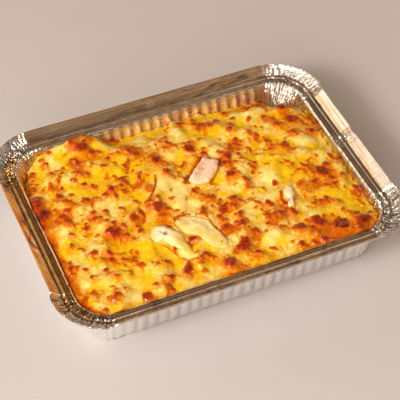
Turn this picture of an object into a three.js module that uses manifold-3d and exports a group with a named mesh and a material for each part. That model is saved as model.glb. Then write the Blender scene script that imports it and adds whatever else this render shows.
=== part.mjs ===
// Pasta and chicken baked under browned cheese in a fluted foil tray. Millimetres, +Z up. The origin is the
// middle of the tray's underside, and +X runs along its length.

import * as THREE from "three";
import { mergeVertices } from "three/addons/utils/BufferGeometryUtils.js";
import Module from "manifold-3d";

const wasm = await Module();
wasm.setup();

// Driving sizes. "out" is measured outwards from the ledge's inner edge, and negative inwards.
const OPENING = { halfLength: 117, halfWidth: 85, corner: 23 };
const LEDGE = { height: 38, width: 8, beadAt: 5.4, beadHalf: 1.2, beadRise: 0.5 };
const FLANGE = { rise: 7, lean: 7, hem: 1, panelHalfLength: 98, panelHalfWidth: 56 };
const CORNER_CRIMP = { bulge: 1.7, drop: 1, pleat: 0.45, ledgeWave: 0.3 };
const FOIL = 0.8;
const FOOT = { inset: 6.8, bend: 2.4, bendHeight: 1.6 };
const FLUTES = { onLength: 23, onWidth: 15, onCorner: 6, topDepth: 0.45, footDepth: 0.9 };
const FLANGE_DENTS = [
  { side: 1, y: 3.4, half: 4.5, push: -1.5 },
  { side: -1, y: 8, half: 9, push: -1.1 },
];

// The baked block. Levels and rises are heights above or below the ledge.
const CLEARANCE = 0.3;
const BLOCK = { cellsLong: 52, cellsWide: 38, edgeOut: -1.6, footOut: -10, kneeOut: -8.1, kneeHeight: 3.1 };
const LEVEL = {
  mean: -3.9,
  backDip: { depth: 8, from: 56, to: 84, left: -52, right: -36 },
  rightDip: { depth: 3, from: 92, to: 116 },
};
const SWELLS = [
  { x: 116, y: 84, rise: -10, reach: 20 },
  { x: -64, y: 74, rise: 4.6, reach: 9 },
  { x: -95, y: 20, rise: 1.6, reach: 30 },
  { x: -40, y: 25, rise: 1.4, reach: 34 },
  { x: 30, y: -50, rise: 1.3, reach: 30 },
  { x: 103, y: 58, rise: 4.6, reach: 7 },
];

// Penne and chicken pieces under the cheese: the ones that stand out, then a jittered field of others.
const LUMP_POWER = 1.2;
const BLEND_POWER = 2.6;
const CLEAR_LUMPS = [
  { x: 33, y: 26, turn: -62, half: 17, width: 11, rise: 4.4 },
  { x: -24, y: 11, turn: 47, half: 15, width: 9, rise: 3.6 },
  { x: 47, y: 50, turn: -38, half: 13, width: 9, rise: 3.4 },
  { x: 74, y: 62, turn: 20, half: 5, width: 8, rise: 4.6 },
  { x: -2, y: 44, turn: 15, half: 14, width: 10, rise: 3.2 },
  { x: 68, y: 4, turn: 52, half: 14, width: 9, rise: 3.3 },
];
const LUMP_FIELD = { seed: 41, columns: 10, rows: 7, jitter: 0.36, half: [6, 13], width: [7, 10], rise: [1.4, 3.4] };

// Browned blisters: the broad patches, then a seeded scatter.
const BROAD_BLISTERS = [
  { x: -112, y: 33, radius: 8 },
  { x: -111, y: 18, radius: 7 },
  { x: -63, y: 71, radius: 7 },
  { x: 97, y: 58, radius: 7 },
  { x: 99, y: 42, radius: 7 },
  { x: 83, y: -73, radius: 8.5 },
  { x: 69, y: -64, radius: 7 },
  { x: 100, y: -75, radius: 6 },
  { x: 53, y: -64, radius: 6.5 },
  { x: 10, y: -64, radius: 7.5 },
  { x: -6, y: -75, radius: 6.5 },
  { x: -70, y: -80, radius: 6 },
  { x: 12, y: 40, radius: 6 },
  { x: -16, y: 38, radius: 5.5 },
  { x: -33, y: -7, radius: 6 },
  { x: -70, y: -18, radius: 6 },
  { x: 95, y: -18, radius: 7 },
];
const BLISTERS = { seed: 97, count: 190, radius: [2.8, 4.8], rise: 1.1, edgeMargin: 4 };

// Chicken that shows on top: long axis turned from +X, then tipped about it, in degrees.
const CHICKEN = [
  { name: "chicken_chunk", at: [12.6, 16.4, 36.4], size: [32, 13.5, 8.4], turn: 40, tip: 12, seed: 5 },
  { name: "chicken_curl", at: [-32.5, -37, 35.2], size: [37, 15, 7.6], turn: -58, tip: -8, seed: 11 },
  { name: "chicken_slice", at: [-10.5, -37.5, 34.8], size: [31, 33, 6.4], turn: -18, tip: 4, seed: 17 },
  { name: "chicken_bit", at: [58.6, -34.6, 35.2], size: [20, 9.5, 6.6], turn: 72, tip: 6, seed: 23 },
];
const CHICKEN_SHAPE = { around: 16, down: 7, squareness: 0.55, unevenness: 0.07 };

const COLOURS = { foil: 0xb9b4ad, crust: 0xe9b23c, chicken: 0xf0d8c0 };

// --- Helpers ------------------------------------------------------------------------------------------

/** A seeded run of numbers from 0 up to 1. */
function seededDraws(seed) {
  let state = seed;
  return () => {
    state = (Math.imul(state, 1664525) + 1013904223) >>> 0;
    return state / 2 ** 32;
  };
}

/** A number between the two ends of a range. */
function between([low, high], share) {
  return low + (high - low) * share;
}

/** A geometry from vertices and triangles that share them. */
function geometryOf(vertices, triangles) {
  const geometry = new THREE.BufferGeometry();
  geometry.setAttribute("position", new THREE.Float32BufferAttribute(vertices.flat(), 3));
  geometry.setIndex(triangles.flat());
  return geometry;
}

/** The triangles between two closed rings of vertices, facing out when the second ring is above the first. */
function stripBetween(first, second, count) {
  const triangles = [];
  for (let i = 0; i < count; i++) {
    const next = (i + 1) % count;
    triangles.push([first + i, first + next, second + next], [first + i, second + next, second + i]);
  }
  return triangles;
}

/** The fan of triangles that closes a ring round one vertex, facing up or down. */
function fanOver(centre, ring, count, faceUp) {
  return Array.from({ length: count }, (_, i) => {
    const next = (i + 1) % count;
    return faceUp ? [centre, ring + i, ring + next] : [centre, ring + next, ring + i];
  });
}

// --- Foil tray ----------------------------------------------------------------------------------------

/** How far a dent pushes the flange's hem at one place. */
function dentAt(x, y) {
  const near = FLANGE_DENTS.filter((dent) => Math.sign(x) === dent.side && Math.abs(x) > OPENING.halfLength - 1);
  return near.reduce((sum, dent) => sum + dent.push * Math.exp(-(((y - dent.y) / dent.half) ** 2)), 0);
}

/** One station round the opening: its place, outward normal, side of the flute and whether it is crimped. */
function station(point, normal, index) {
  const onLongSide = Math.abs(normal.y) > Math.abs(normal.x);
  const inPanel = onLongSide
    ? Math.abs(point.x) < FLANGE.panelHalfLength
    : Math.abs(point.y) < FLANGE.panelHalfWidth;
  return { point, normal, ridge: index % 2 ? -1 : 1, crimp: inPanel ? 0 : 1, dent: dentAt(point.x, point.y) };
}

/** The stations round the opening, anticlockwise from the +X side: two to a flute. */
function openingStations() {
  const reach = [OPENING.halfLength, OPENING.halfWidth];
  const stations = [];
  for (let side = 0; side < 4; side++) {
    const heading = (side * Math.PI) / 2;
    const out = new THREE.Vector2(Math.cos(heading), Math.sin(heading));
    const along = new THREE.Vector2(-out.y, out.x);
    const half = reach[(side + 1) % 2] - OPENING.corner;
    const flutes = side % 2 ? FLUTES.onLength : FLUTES.onWidth;
    for (let k = 0; k < 2 * flutes; k++) {
      const middle = out.clone().multiplyScalar(reach[side % 2]);
      stations.push(station(middle.addScaledVector(along, half * ((k + 0.5) / flutes - 1)), out, k));
    }
    const centre = out.clone().multiplyScalar(reach[side % 2] - OPENING.corner).addScaledVector(along, half);
    for (let k = 0; k < 2 * FLUTES.onCorner; k++) {
      const angle = heading + ((k + 0.5) / (4 * FLUTES.onCorner)) * Math.PI;
      const normal = new THREE.Vector2(Math.cos(angle), Math.sin(angle));
      stations.push(station(centre.clone().addScaledVector(normal, OPENING.corner), normal, k));
    }
  }
  return stations;
}

/** The tray's section as rings, from the underside of the floor out to the hem and back in along the top. */
function trayRings() {
  const crease = LEDGE.width;
  const hemOut = LEDGE.width + FLANGE.lean;
  const hemTop = LEDGE.height + FLANGE.rise;
  const { topDepth, footDepth } = FLUTES;
  const { bulge, drop, pleat, ledgeWave } = CORNER_CRIMP;
  return [
    { out: -FOOT.inset - FOOT.bend, z: 0 },
    { out: -FOOT.inset + FOIL, z: FOOT.bendHeight, flute: footDepth },
    { out: FOIL, z: LEDGE.height - FOIL - 0.3, flute: topDepth },
    { out: crease + 0.3, z: LEDGE.height - FOIL, wave: ledgeWave },
    { out: hemOut, z: hemTop - FLANGE.hem, bulge, drop, pleat, dented: 1 },
    { out: hemOut - FLANGE.hem, z: hemTop, bulge, drop, pleat, dented: 1 },
    { out: crease - 0.4, z: LEDGE.height, wave: ledgeWave },
    { out: LEDGE.beadAt + LEDGE.beadHalf, z: LEDGE.height, wave: ledgeWave },
    { out: LEDGE.beadAt, z: LEDGE.height + LEDGE.beadRise, wave: ledgeWave },
    { out: LEDGE.beadAt - LEDGE.beadHalf, z: LEDGE.height },
    { out: 0, z: LEDGE.height - 0.1, flute: topDepth },
    { out: -FOOT.inset, z: FOIL + FOOT.bendHeight, flute: footDepth },
    { out: -FOOT.inset - FOOT.bend, z: FOIL },
  ];
}

/** Where a ring of the section passes one station. */
function ringPoint({ point, normal, ridge, crimp, dent }, ring) {
  const { out, z, flute = 0, bulge = 0, drop = 0, pleat = 0, wave = 0, dented = 0 } = ring;
  const shift = out + ridge * (flute + crimp * pleat) + crimp * bulge + dented * dent;
  const lift = z + crimp * (ridge * wave - drop);
  return [point.x + normal.x * shift, point.y + normal.y * shift, lift];
}

/** The pressed foil tray as one closed shell. */
function trayGeometry() {
  const stations = openingStations();
  const rings = trayRings();
  const count = stations.length;
  const vertices = rings.flatMap((ring) => stations.map((each) => ringPoint(each, ring)));
  const triangles = rings.slice(1).flatMap((_, i) => stripBetween(i * count, (i + 1) * count, count));
  const underside = vertices.length;
  vertices.push([0, 0, 0], [0, 0, FOIL]);
  triangles.push(...fanOver(underside, 0, count, false));
  triangles.push(...fanOver(underside + 1, (rings.length - 1) * count, count, true));
  return geometryOf(vertices, triangles);
}

// --- Baked block --------------------------------------------------------------------------------------

/** The jittered field of pieces under the cheese. */
function lumpField() {
  const { seed, columns, rows, jitter, half, width, rise } = LUMP_FIELD;
  const draw = seededDraws(seed);
  const lumps = [];
  for (let row = 0; row < rows; row++) {
    for (let column = 0; column < columns; column++) {
      lumps.push({
        x: OPENING.halfLength * ((2 * (column + 0.5 + jitter * (2 * draw() - 1))) / columns - 1),
        y: OPENING.halfWidth * ((2 * (row + 0.5 + jitter * (2 * draw() - 1))) / rows - 1),
        turn: 180 * draw(),
        half: between(half, draw()),
        width: between(width, draw()),
        rise: between(rise, draw()),
      });
    }
  }
  return lumps;
}

/** The seeded scatter of browned blisters. */
function blisterField() {
  const draw = seededDraws(BLISTERS.seed);
  return Array.from({ length: BLISTERS.count }, () => ({
    x: (OPENING.halfLength - BLISTERS.edgeMargin) * (2 * draw() - 1),
    y: (OPENING.halfWidth - BLISTERS.edgeMargin) * (2 * draw() - 1),
    radius: between(BLISTERS.radius, draw()),
  }));
}

const lumps = [...CLEAR_LUMPS, ...lumpField()];
const blisters = [...BROAD_BLISTERS, ...blisterField()];

/** How high a rounded bar of food under the cheese lifts it at one place. */
function lumpRise(lump, x, y) {
  const angle = THREE.MathUtils.degToRad(lump.turn);
  const dx = x - lump.x;
  const dy = y - lump.y;
  const along = Math.abs(dx * Math.cos(angle) + dy * Math.sin(angle));
  const across = dy * Math.cos(angle) - dx * Math.sin(angle);
  const distance = Math.hypot(Math.max(along - lump.half, 0), across) / lump.width;
  return distance < 1 ? lump.rise * (1 - distance ** 2) ** LUMP_POWER : 0;
}

/** How high a blister stands at one place. */
function blisterRise(blister, x, y) {
  const distance = Math.hypot(x - blister.x, y - blister.y) / blister.radius;
  return distance < 1 ? BLISTERS.rise * (1 - distance ** 2) : 0;
}

/** The slow rise and fall of the filling, as a height above the ledge. */
function levelAt(x, y) {
  const { backDip, rightDip } = LEVEL;
  const back = THREE.MathUtils.smoothstep(y, backDip.from, backDip.to);
  const backSpan = THREE.MathUtils.smoothstep(x, backDip.left, backDip.right);
  const right = THREE.MathUtils.smoothstep(x, rightDip.from, rightDip.to);
  const swells = SWELLS.reduce((sum, { x: sx, y: sy, rise, reach }) => {
    return sum + rise * Math.exp(-((x - sx) ** 2 + (y - sy) ** 2) / (2 * reach ** 2));
  }, 0);
  return LEVEL.mean - backDip.depth * back * backSpan - rightDip.depth * right + swells;
}

/** The height of the crust at one place. */
function crustHeight(x, y) {
  const raised = lumps.reduce((sum, lump) => sum + lumpRise(lump, x, y) ** BLEND_POWER, 0);
  const blistered = blisters.reduce((most, blister) => Math.max(most, blisterRise(blister, x, y)), 0);
  return LEDGE.height + levelAt(x, y) + raised ** (1 / BLEND_POWER) + blistered;
}

/** How far out the food may reach at one height, clear of the flutes. */
function foodReach(z) {
  const wallFoot = FOIL + FOOT.bendHeight;
  const share = THREE.MathUtils.clamp((z - wallFoot) / (LEDGE.height - wallFoot), 0, 1);
  const depth = THREE.MathUtils.lerp(FLUTES.footDepth, FLUTES.topDepth, share);
  return THREE.MathUtils.lerp(-FOOT.inset, 0, share) - depth - CLEARANCE;
}

/** A grid corner of the block, pulled in at the rounded corners, with its outward normal. */
function gridPoint(i, j) {
  const halfX = OPENING.halfLength + BLOCK.edgeOut;
  const halfY = OPENING.halfWidth + BLOCK.edgeOut;
  const radius = OPENING.corner + BLOCK.edgeOut;
  const x = halfX * ((2 * i) / BLOCK.cellsLong - 1);
  const y = halfY * ((2 * j) / BLOCK.cellsWide - 1);
  const past = new THREE.Vector2(Math.abs(x) - halfX + radius, Math.abs(y) - halfY + radius);
  if (past.x <= 0 || past.y <= 0) {
    const onLongSide = past.y > past.x;
    return { x, y, normal: onLongSide ? [0, Math.sign(y)] : [Math.sign(x), 0] };
  }
  const pull = Math.max(past.x, past.y) / past.length();
  const normal = past.clone().normalize();
  return {
    x: Math.sign(x) * (halfX - radius + past.x * pull),
    y: Math.sign(y) * (halfY - radius + past.y * pull),
    normal: [Math.sign(x) * normal.x, Math.sign(y) * normal.y],
  };
}

/** The grid indices round the block's edge, anticlockwise. */
function edgeCells() {
  const { cellsLong, cellsWide } = BLOCK;
  const edge = [];
  for (let j = 0; j < cellsWide; j++) edge.push([cellsLong, j]);
  for (let i = cellsLong; i > 0; i--) edge.push([i, cellsWide]);
  for (let j = cellsWide; j > 0; j--) edge.push([0, j]);
  for (let i = 0; i < cellsLong; i++) edge.push([i, 0]);
  return edge;
}

/** The vertices of the crust, its edge drawn in or out to meet the wall at its own height. */
function crustVertices() {
  const vertices = [];
  for (let j = 0; j <= BLOCK.cellsWide; j++) {
    for (let i = 0; i <= BLOCK.cellsLong; i++) {
      const { x, y, normal } = gridPoint(i, j);
      const z = crustHeight(x, y);
      const atEdge = i === 0 || j === 0 || i === BLOCK.cellsLong || j === BLOCK.cellsWide;
      const shift = atEdge ? foodReach(z) - BLOCK.edgeOut : 0;
      vertices.push([x + normal[0] * shift, y + normal[1] * shift, z]);
    }
  }
  return vertices;
}

/** The pasta, sauce and cheese as one baked block with its lumpy crust. */
function blockGeometry() {
  const row = BLOCK.cellsLong + 1;
  const vertices = crustVertices();
  const triangles = [];
  for (let j = 0; j < BLOCK.cellsWide; j++) {
    for (let i = 0; i < BLOCK.cellsLong; i++) {
      const corner = j * row + i;
      triangles.push([corner, corner + 1, corner + row + 1], [corner, corner + row + 1, corner + row]);
    }
  }
  const edge = edgeCells();
  const foot = vertices.length;
  const lower = [
    { out: BLOCK.footOut, z: FOIL + CLEARANCE },
    { out: BLOCK.kneeOut, z: BLOCK.kneeHeight },
  ];
  for (const { out, z } of lower) {
    for (const [i, j] of edge) {
      const { x, y, normal } = gridPoint(i, j);
      const shift = out - BLOCK.edgeOut;
      vertices.push([x + normal[0] * shift, y + normal[1] * shift, z]);
    }
  }
  const count = edge.length;
  triangles.push(...stripBetween(foot, foot + count, count));
  edge.forEach(([i, j], k) => {
    const [nextI, nextJ] = edge[(k + 1) % count];
    const knee = foot + count;
    const top = j * row + i;
    const nextTop = nextJ * row + nextI;
    triangles.push([knee + k, knee + ((k + 1) % count), nextTop], [knee + k, nextTop, top]);
  });
  vertices.push([0, 0, FOIL + CLEARANCE]);
  triangles.push(...fanOver(vertices.length - 1, foot, count, false));
  return geometryOf(vertices, triangles);
}

// --- Chicken ------------------------------------------------------------------------------------------

/** One piece of chicken, squarish and uneven, grown by a margin on every side. */
function chickenGeometry({ at, size, turn, tip, seed }, margin) {
  const { around, down, squareness, unevenness } = CHICKEN_SHAPE;
  const draw = seededDraws(seed);
  const phases = [draw(), draw(), draw()].map((share) => 2 * Math.PI * share);
  const sphere = new THREE.SphereGeometry(1, around, down).rotateX(Math.PI / 2);
  sphere.deleteAttribute("normal");
  sphere.deleteAttribute("uv");
  const geometry = mergeVertices(sphere, 1e-5);
  const place = geometry.getAttribute("position");
  for (let i = 0; i < place.count; i++) {
    const unit = [place.getX(i), place.getY(i), place.getZ(i)];
    const squared = unit.map((value) => Math.sign(value) * Math.abs(value) ** squareness);
    const uneven = unit.map((_, k) => 1 + unevenness * Math.sin(3 * unit[(k + 1) % 3] + phases[k]));
    place.setXYZ(i, ...squared.map((value, k) => value * (uneven[k] * (size[k] / 2) + margin)));
  }
  geometry.rotateX(THREE.MathUtils.degToRad(tip));
  geometry.rotateZ(THREE.MathUtils.degToRad(turn));
  return geometry.translate(...at);
}

// --- Assembly -----------------------------------------------------------------------------------------

/** A geometry as a solid that can be cut. */
function solidOf(geometry) {
  return new wasm.Manifold(
    new wasm.Mesh({
      numProp: 3,
      vertProperties: geometry.getAttribute("position").array,
      triVerts: new Uint32Array(geometry.index.array),
    }),
  );
}

/** A cut solid as a geometry again. */
function geometryFrom(solid) {
  const { vertProperties, triVerts } = solid.getMesh();
  const geometry = new THREE.BufferGeometry();
  geometry.setAttribute("position", new THREE.BufferAttribute(vertProperties, 3));
  return geometry.setIndex(new THREE.BufferAttribute(triVerts, 1));
}

/** A named sub-part with its own material. */
function subPart(name, geometry, color, roughness, metalness) {
  const mesh = new THREE.Mesh(geometry, new THREE.MeshStandardMaterial({ color, roughness, metalness }));
  mesh.name = name;
  return mesh;
}

const group = new THREE.Group();
group.add(subPart("foil_tray", trayGeometry(), COLOURS.foil, 0.3, 1));

let block = solidOf(blockGeometry());
let taken = null;
for (const piece of CHICKEN) {
  const socket = solidOf(chickenGeometry(piece, CLEARANCE));
  const whole = solidOf(chickenGeometry(piece, 0));
  const shown = taken ? whole.subtract(taken) : whole;
  group.add(subPart(piece.name, geometryFrom(shown), COLOURS.chicken, 0.45, 0));
  taken = taken ? taken.add(socket) : socket;
}
block = block.subtract(taken);
group.add(subPart("pasta_bake", geometryFrom(block), COLOURS.crust, 0.4, 0));

export default group;
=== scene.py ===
"""Pasta and chicken baked under browned cheese in a fluted foil tray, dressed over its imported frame.

Sizes are in millimetres and are turned into metres as each mesh is made. "Out" is measured outwards from the
inner edge of the tray's ledge, and is negative inwards.
"""

import logging
import math
from dataclasses import dataclass, field, replace
from enum import Enum
from typing import Callable, Iterable, Sequence

import bpy
import numpy as np
from mathutils import Matrix, Vector

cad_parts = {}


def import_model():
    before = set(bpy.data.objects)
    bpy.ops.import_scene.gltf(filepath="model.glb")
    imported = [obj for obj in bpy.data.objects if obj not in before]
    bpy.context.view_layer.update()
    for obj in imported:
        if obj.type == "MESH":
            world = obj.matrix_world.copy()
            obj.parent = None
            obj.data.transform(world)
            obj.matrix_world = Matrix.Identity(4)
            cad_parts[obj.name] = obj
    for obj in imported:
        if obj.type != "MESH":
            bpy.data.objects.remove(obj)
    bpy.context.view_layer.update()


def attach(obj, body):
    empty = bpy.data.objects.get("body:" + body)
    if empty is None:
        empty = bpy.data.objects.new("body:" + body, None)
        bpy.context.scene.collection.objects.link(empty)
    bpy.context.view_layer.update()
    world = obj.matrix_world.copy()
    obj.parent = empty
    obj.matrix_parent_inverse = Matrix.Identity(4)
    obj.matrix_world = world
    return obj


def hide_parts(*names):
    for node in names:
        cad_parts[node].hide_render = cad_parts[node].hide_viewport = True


Array = np.ndarray
Colour = tuple[float, float, float]
Place = tuple[float, float, float]
Span = tuple[float, float]
Socket = bpy.types.NodeSocket
Node = bpy.types.Node
Tree = bpy.types.NodeTree
Material = bpy.types.Material
Piece = bpy.types.Object

MM = 0.001
BODY = "root"

log = logging.getLogger("baked_pasta")


# --- Numbers ------------------------------------------------------------------------------------------


class SeededDraws:
    """A seeded run of numbers from 0 up to 1, the same in every run."""

    MULTIPLIER = 1664525
    STEP = 1013904223
    SPAN = 2**32

    def __init__(self, seed: int) -> None:
        """Starts the run at one seed."""
        self.state = seed

    def __call__(self) -> float:
        """The next number."""
        self.state = (self.state * self.MULTIPLIER + self.STEP) % self.SPAN
        return self.state / self.SPAN

    def between(self, ends: Span) -> float:
        """The next number, spread between two ends."""
        return ends[0] + (ends[1] - ends[0]) * self()


def smoothstep(value: Array, low: float, high: float) -> Array:
    """A smooth rise from 0 at low to 1 at high."""
    share = np.clip((value - low) / (high - low), 0.0, 1.0)
    return share * share * (3.0 - 2.0 * share)


def bell(value: Array, middle: Array | float, reach: float) -> Array:
    """A soft bump: 1 at the middle, falling to about a third at this reach on either side."""
    return np.exp(-(((value - middle) / reach) ** 2))


def along_and_across(x: Array, y: Array, turn: float) -> tuple[Array, Array]:
    """Places measured along and across a line that is turned from +X by an angle in radians."""
    return x * math.cos(turn) + y * math.sin(turn), y * math.cos(turn) - x * math.sin(turn)


class SoftSpot:
    """A place with a reach, which fades out round it."""

    x: float
    y: float
    reach: float

    def nearness(self, x: Array, y: Array) -> Array:
        """1 at the spot, falling softly to 0 beyond its reach."""
        return np.exp(-((x - self.x) ** 2 + (y - self.y) ** 2) / (2.0 * self.reach**2))


def lattice_angles(column: Array, row: Array, seed: int) -> Array:
    """A fixed random angle for each corner of a grid.

    Args:
        column: Whole column numbers.
        row: Whole row numbers.
        seed: Which of the many grids to use.

    Returns:
        Angles in radians.
    """
    mixed = column.astype(np.int64).astype(np.uint64) * np.uint64(374761393)
    mixed = mixed + row.astype(np.int64).astype(np.uint64) * np.uint64(668265263)
    mixed = (mixed + np.uint64(seed * 2246822519)) & np.uint64(0xFFFFFFFF)
    mixed = ((mixed ^ (mixed >> np.uint64(13))) * np.uint64(1274126177)) & np.uint64(0xFFFFFFFF)
    mixed = mixed ^ (mixed >> np.uint64(16))
    return mixed.astype(float) * (2.0 * math.pi / 2**32)


def gradient_noise(x: Array, y: Array, seed: int) -> Array:
    """Smooth noise of about one unit's wavelength, from about -1 to 1."""
    column, row = np.floor(x), np.floor(y)
    across, along = x - column, y - row
    ease_x = across**3 * (across * (across * 6.0 - 15.0) + 10.0)
    ease_y = along**3 * (along * (along * 6.0 - 15.0) + 10.0)
    corners = []
    for step_y in (0, 1):
        for step_x in (0, 1):
            angle = lattice_angles(column + step_x, row + step_y, seed)
            corners.append(np.cos(angle) * (across - step_x) + np.sin(angle) * (along - step_y))
    near = corners[0] + (corners[1] - corners[0]) * ease_x
    far = corners[2] + (corners[3] - corners[2]) * ease_x
    return 1.5 * (near + (far - near) * ease_y)


def layered_noise(x: Array, y: Array, wavelength: float, layers: int, seed: int) -> Array:
    """Noise with finer, weaker layers added, from about -1 to 1."""
    total = 0.0
    weight, reach = 1.0, 0.0
    for layer in range(layers):
        scale = 2.03**layer / wavelength
        total = total + weight * gradient_noise(x * scale, y * scale, seed + 31 * layer)
        reach += weight
        weight *= 0.5
    return total / reach


def bubbles(x: Array, y: Array, pitch: float, seed: int) -> Array:
    """Rounded bubbles packed on a jittered lattice, 1 on top of each and 0 in the seams between them."""
    column, row = np.floor(x / pitch), np.floor(y / pitch)
    nearest = np.full(np.broadcast(x, y).shape, 9.0)
    for step_x in (-1.0, 0.0, 1.0):
        for step_y in (-1.0, 0.0, 1.0):
            angle = lattice_angles(column + step_x, row + step_y, seed)
            across = x / pitch - column - step_x - 0.5 - 0.4 * np.cos(angle)
            along = y / pitch - row - step_y - 0.5 - 0.4 * np.sin(angle)
            nearest = np.minimum(nearest, np.hypot(across, along))
    return np.clip(1.0 - (nearest / 0.75) ** 2, 0.0, 1.0)


def blurred(grid: Array, radius: int) -> Array:
    """A grid softened by three passes of a box of this many cells each way."""
    width = 2 * radius + 1
    for axis in (0, 1) * 3:
        padding = [(radius + 1, radius) if side == axis else (0, 0) for side in (0, 1)]
        summed = np.cumsum(np.pad(grid, padding, mode="edge"), axis=axis)
        upper = np.take(summed, range(width, summed.shape[axis]), axis=axis)
        lower = np.take(summed, range(0, summed.shape[axis] - width), axis=axis)
        grid = (upper - lower) / width
    return grid


# --- Meshes -------------------------------------------------------------------------------------------


def grid_faces(rows: int, columns: int, first: int = 0, closed: bool = False) -> Array:
    """Quads over a grid of vertices numbered row by row.

    Args:
        rows: Number of rows of vertices.
        columns: Number of vertices in a row.
        first: Number of the first vertex.
        closed: Whether each row's end joins its start.

    Returns:
        One row of four vertex numbers for each quad.
    """
    row = np.arange(rows - 1)[:, None] * columns
    column = np.arange(columns if closed else columns - 1)[None, :]
    beside = (column + 1) % columns
    quads = np.stack([row + column, row + beside, row + columns + beside, row + columns + column], axis=-1)
    return quads.reshape(-1, 4) + first


def mesh_piece(
    name: str,
    vertices: Array,
    faces: Sequence[Sequence[int]],
    values: dict[str, Array],
    material: Material,
) -> Piece:
    """Makes a smooth-shaded mesh object.

    Args:
        name: The piece's name.
        vertices: Places in millimetres, one row each.
        faces: Vertex numbers of each face.
        values: Named values for each vertex, which the material reads.
        material: What it is made of.

    Returns:
        The new object, linked to the scene.
    """
    mesh = bpy.data.meshes.new(name)
    mesh.from_pydata((vertices * MM).tolist(), [], [list(map(int, face)) for face in faces])
    mesh.polygons.foreach_set("use_smooth", np.ones(len(mesh.polygons), dtype=bool))
    for key, numbers in values.items():
        attribute = mesh.attributes.new(key, "FLOAT", "POINT")
        attribute.data.foreach_set("value", np.asarray(numbers, dtype=np.float32).ravel())
    mesh.update()
    mesh.materials.append(material)
    piece = bpy.data.objects.new(name, mesh)
    bpy.context.scene.collection.objects.link(piece)
    return piece


# --- Shader building ----------------------------------------------------------------------------------


class NodePad:
    """Adds nodes to one shader tree and joins them."""

    def __init__(self, tree: Tree) -> None:
        """Works on one tree."""
        self.tree = tree

    def add(self, kind: str, sockets: dict | None = None, **settings: object) -> Node:
        """Adds a node.

        Args:
            kind: The node's type name.
            sockets: Inputs, each with a plain value or an output socket to join.
            settings: Attributes of the node itself.

        Returns:
            The new node.
        """
        node = self.tree.nodes.new(kind)
        for key, value in settings.items():
            setattr(node, key, value)
        self.fill(node, sockets or {})
        return node

    def fill(self, node: Node, sockets: dict) -> None:
        """Feeds a node's inputs by their names or numbers."""
        for key, value in sockets.items():
            self.feed(node.inputs[key], value)

    def feed(self, socket: Socket, value: object) -> None:
        """Joins an output to a socket, or sets the socket's own value."""
        if isinstance(value, Socket):
            self.tree.links.new(value, socket)
        else:
            socket.default_value = value

    def math(self, operation: str, *values: object) -> Socket:
        """The result of a Math node."""
        return self.add("ShaderNodeMath", dict(enumerate(values)), operation=operation).outputs[0]

    def ramp(self, value: object, stops: Iterable[tuple[float, Colour]]) -> Socket:
        """The colour of a ColorRamp node at a value."""
        node = self.add("ShaderNodeValToRGB", {"Fac": value})
        elements = node.color_ramp.elements
        for index, (place, colour) in enumerate(stops):
            element = elements[index] if index < 2 else elements.new(place)
            element.position, element.color = place, (*colour, 1.0)
        return node.outputs["Color"]

    def spread(self, value: object, ends: Span, onto: Span = (0.0, 1.0)) -> Socket:
        """A value moved smoothly from one range onto another."""
        keys = ("Value", "From Min", "From Max", "To Min", "To Max")
        sockets = dict(zip(keys, (value, *ends, *onto)))
        return self.add("ShaderNodeMapRange", sockets, interpolation_type="SMOOTHSTEP").outputs["Result"]

    def mix(self, share: object, first: object, second: object) -> Socket:
        """Two colours mixed."""
        colours = [(*value, 1.0) if isinstance(value, tuple) else value for value in (first, second)]
        sockets = dict(zip((0, 6, 7), (share, *colours)))
        return self.add("ShaderNodeMix", sockets, data_type="RGBA").outputs[2]

    def value_of(self, name: str) -> Socket:
        """A named value that the mesh carries."""
        return self.add("ShaderNodeAttribute", attribute_name=name).outputs["Fac"]

    def noise(self, scale: object, detail: float, where: object, **others: float) -> Socket:
        """The mask of a Noise node."""
        sockets = {"Vector": where, "Scale": scale, "Detail": detail, **others}
        return self.add("ShaderNodeTexNoise", sockets).outputs[0]

    def bump(self, height: object, strength: float, distance: float, **others: object) -> Socket:
        """The normal of a Bump node."""
        sockets = {"Height": height, "Strength": strength, "Distance": distance, **others}
        return self.add("ShaderNodeBump", sockets).outputs[0]


class StainKind(Enum):
    """What discolours a piece of chicken; some spots paint shade in its valleys, cracks and holes."""

    PINK = "pink"
    TAN = "tan"
    CHEESE = "cheese"


class SharedEffect(Enum):
    """Effects that more than one finish uses, each a node group."""

    MOTTLE = "mottle"
    FINE_RELIEF = "fine_relief"


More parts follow.
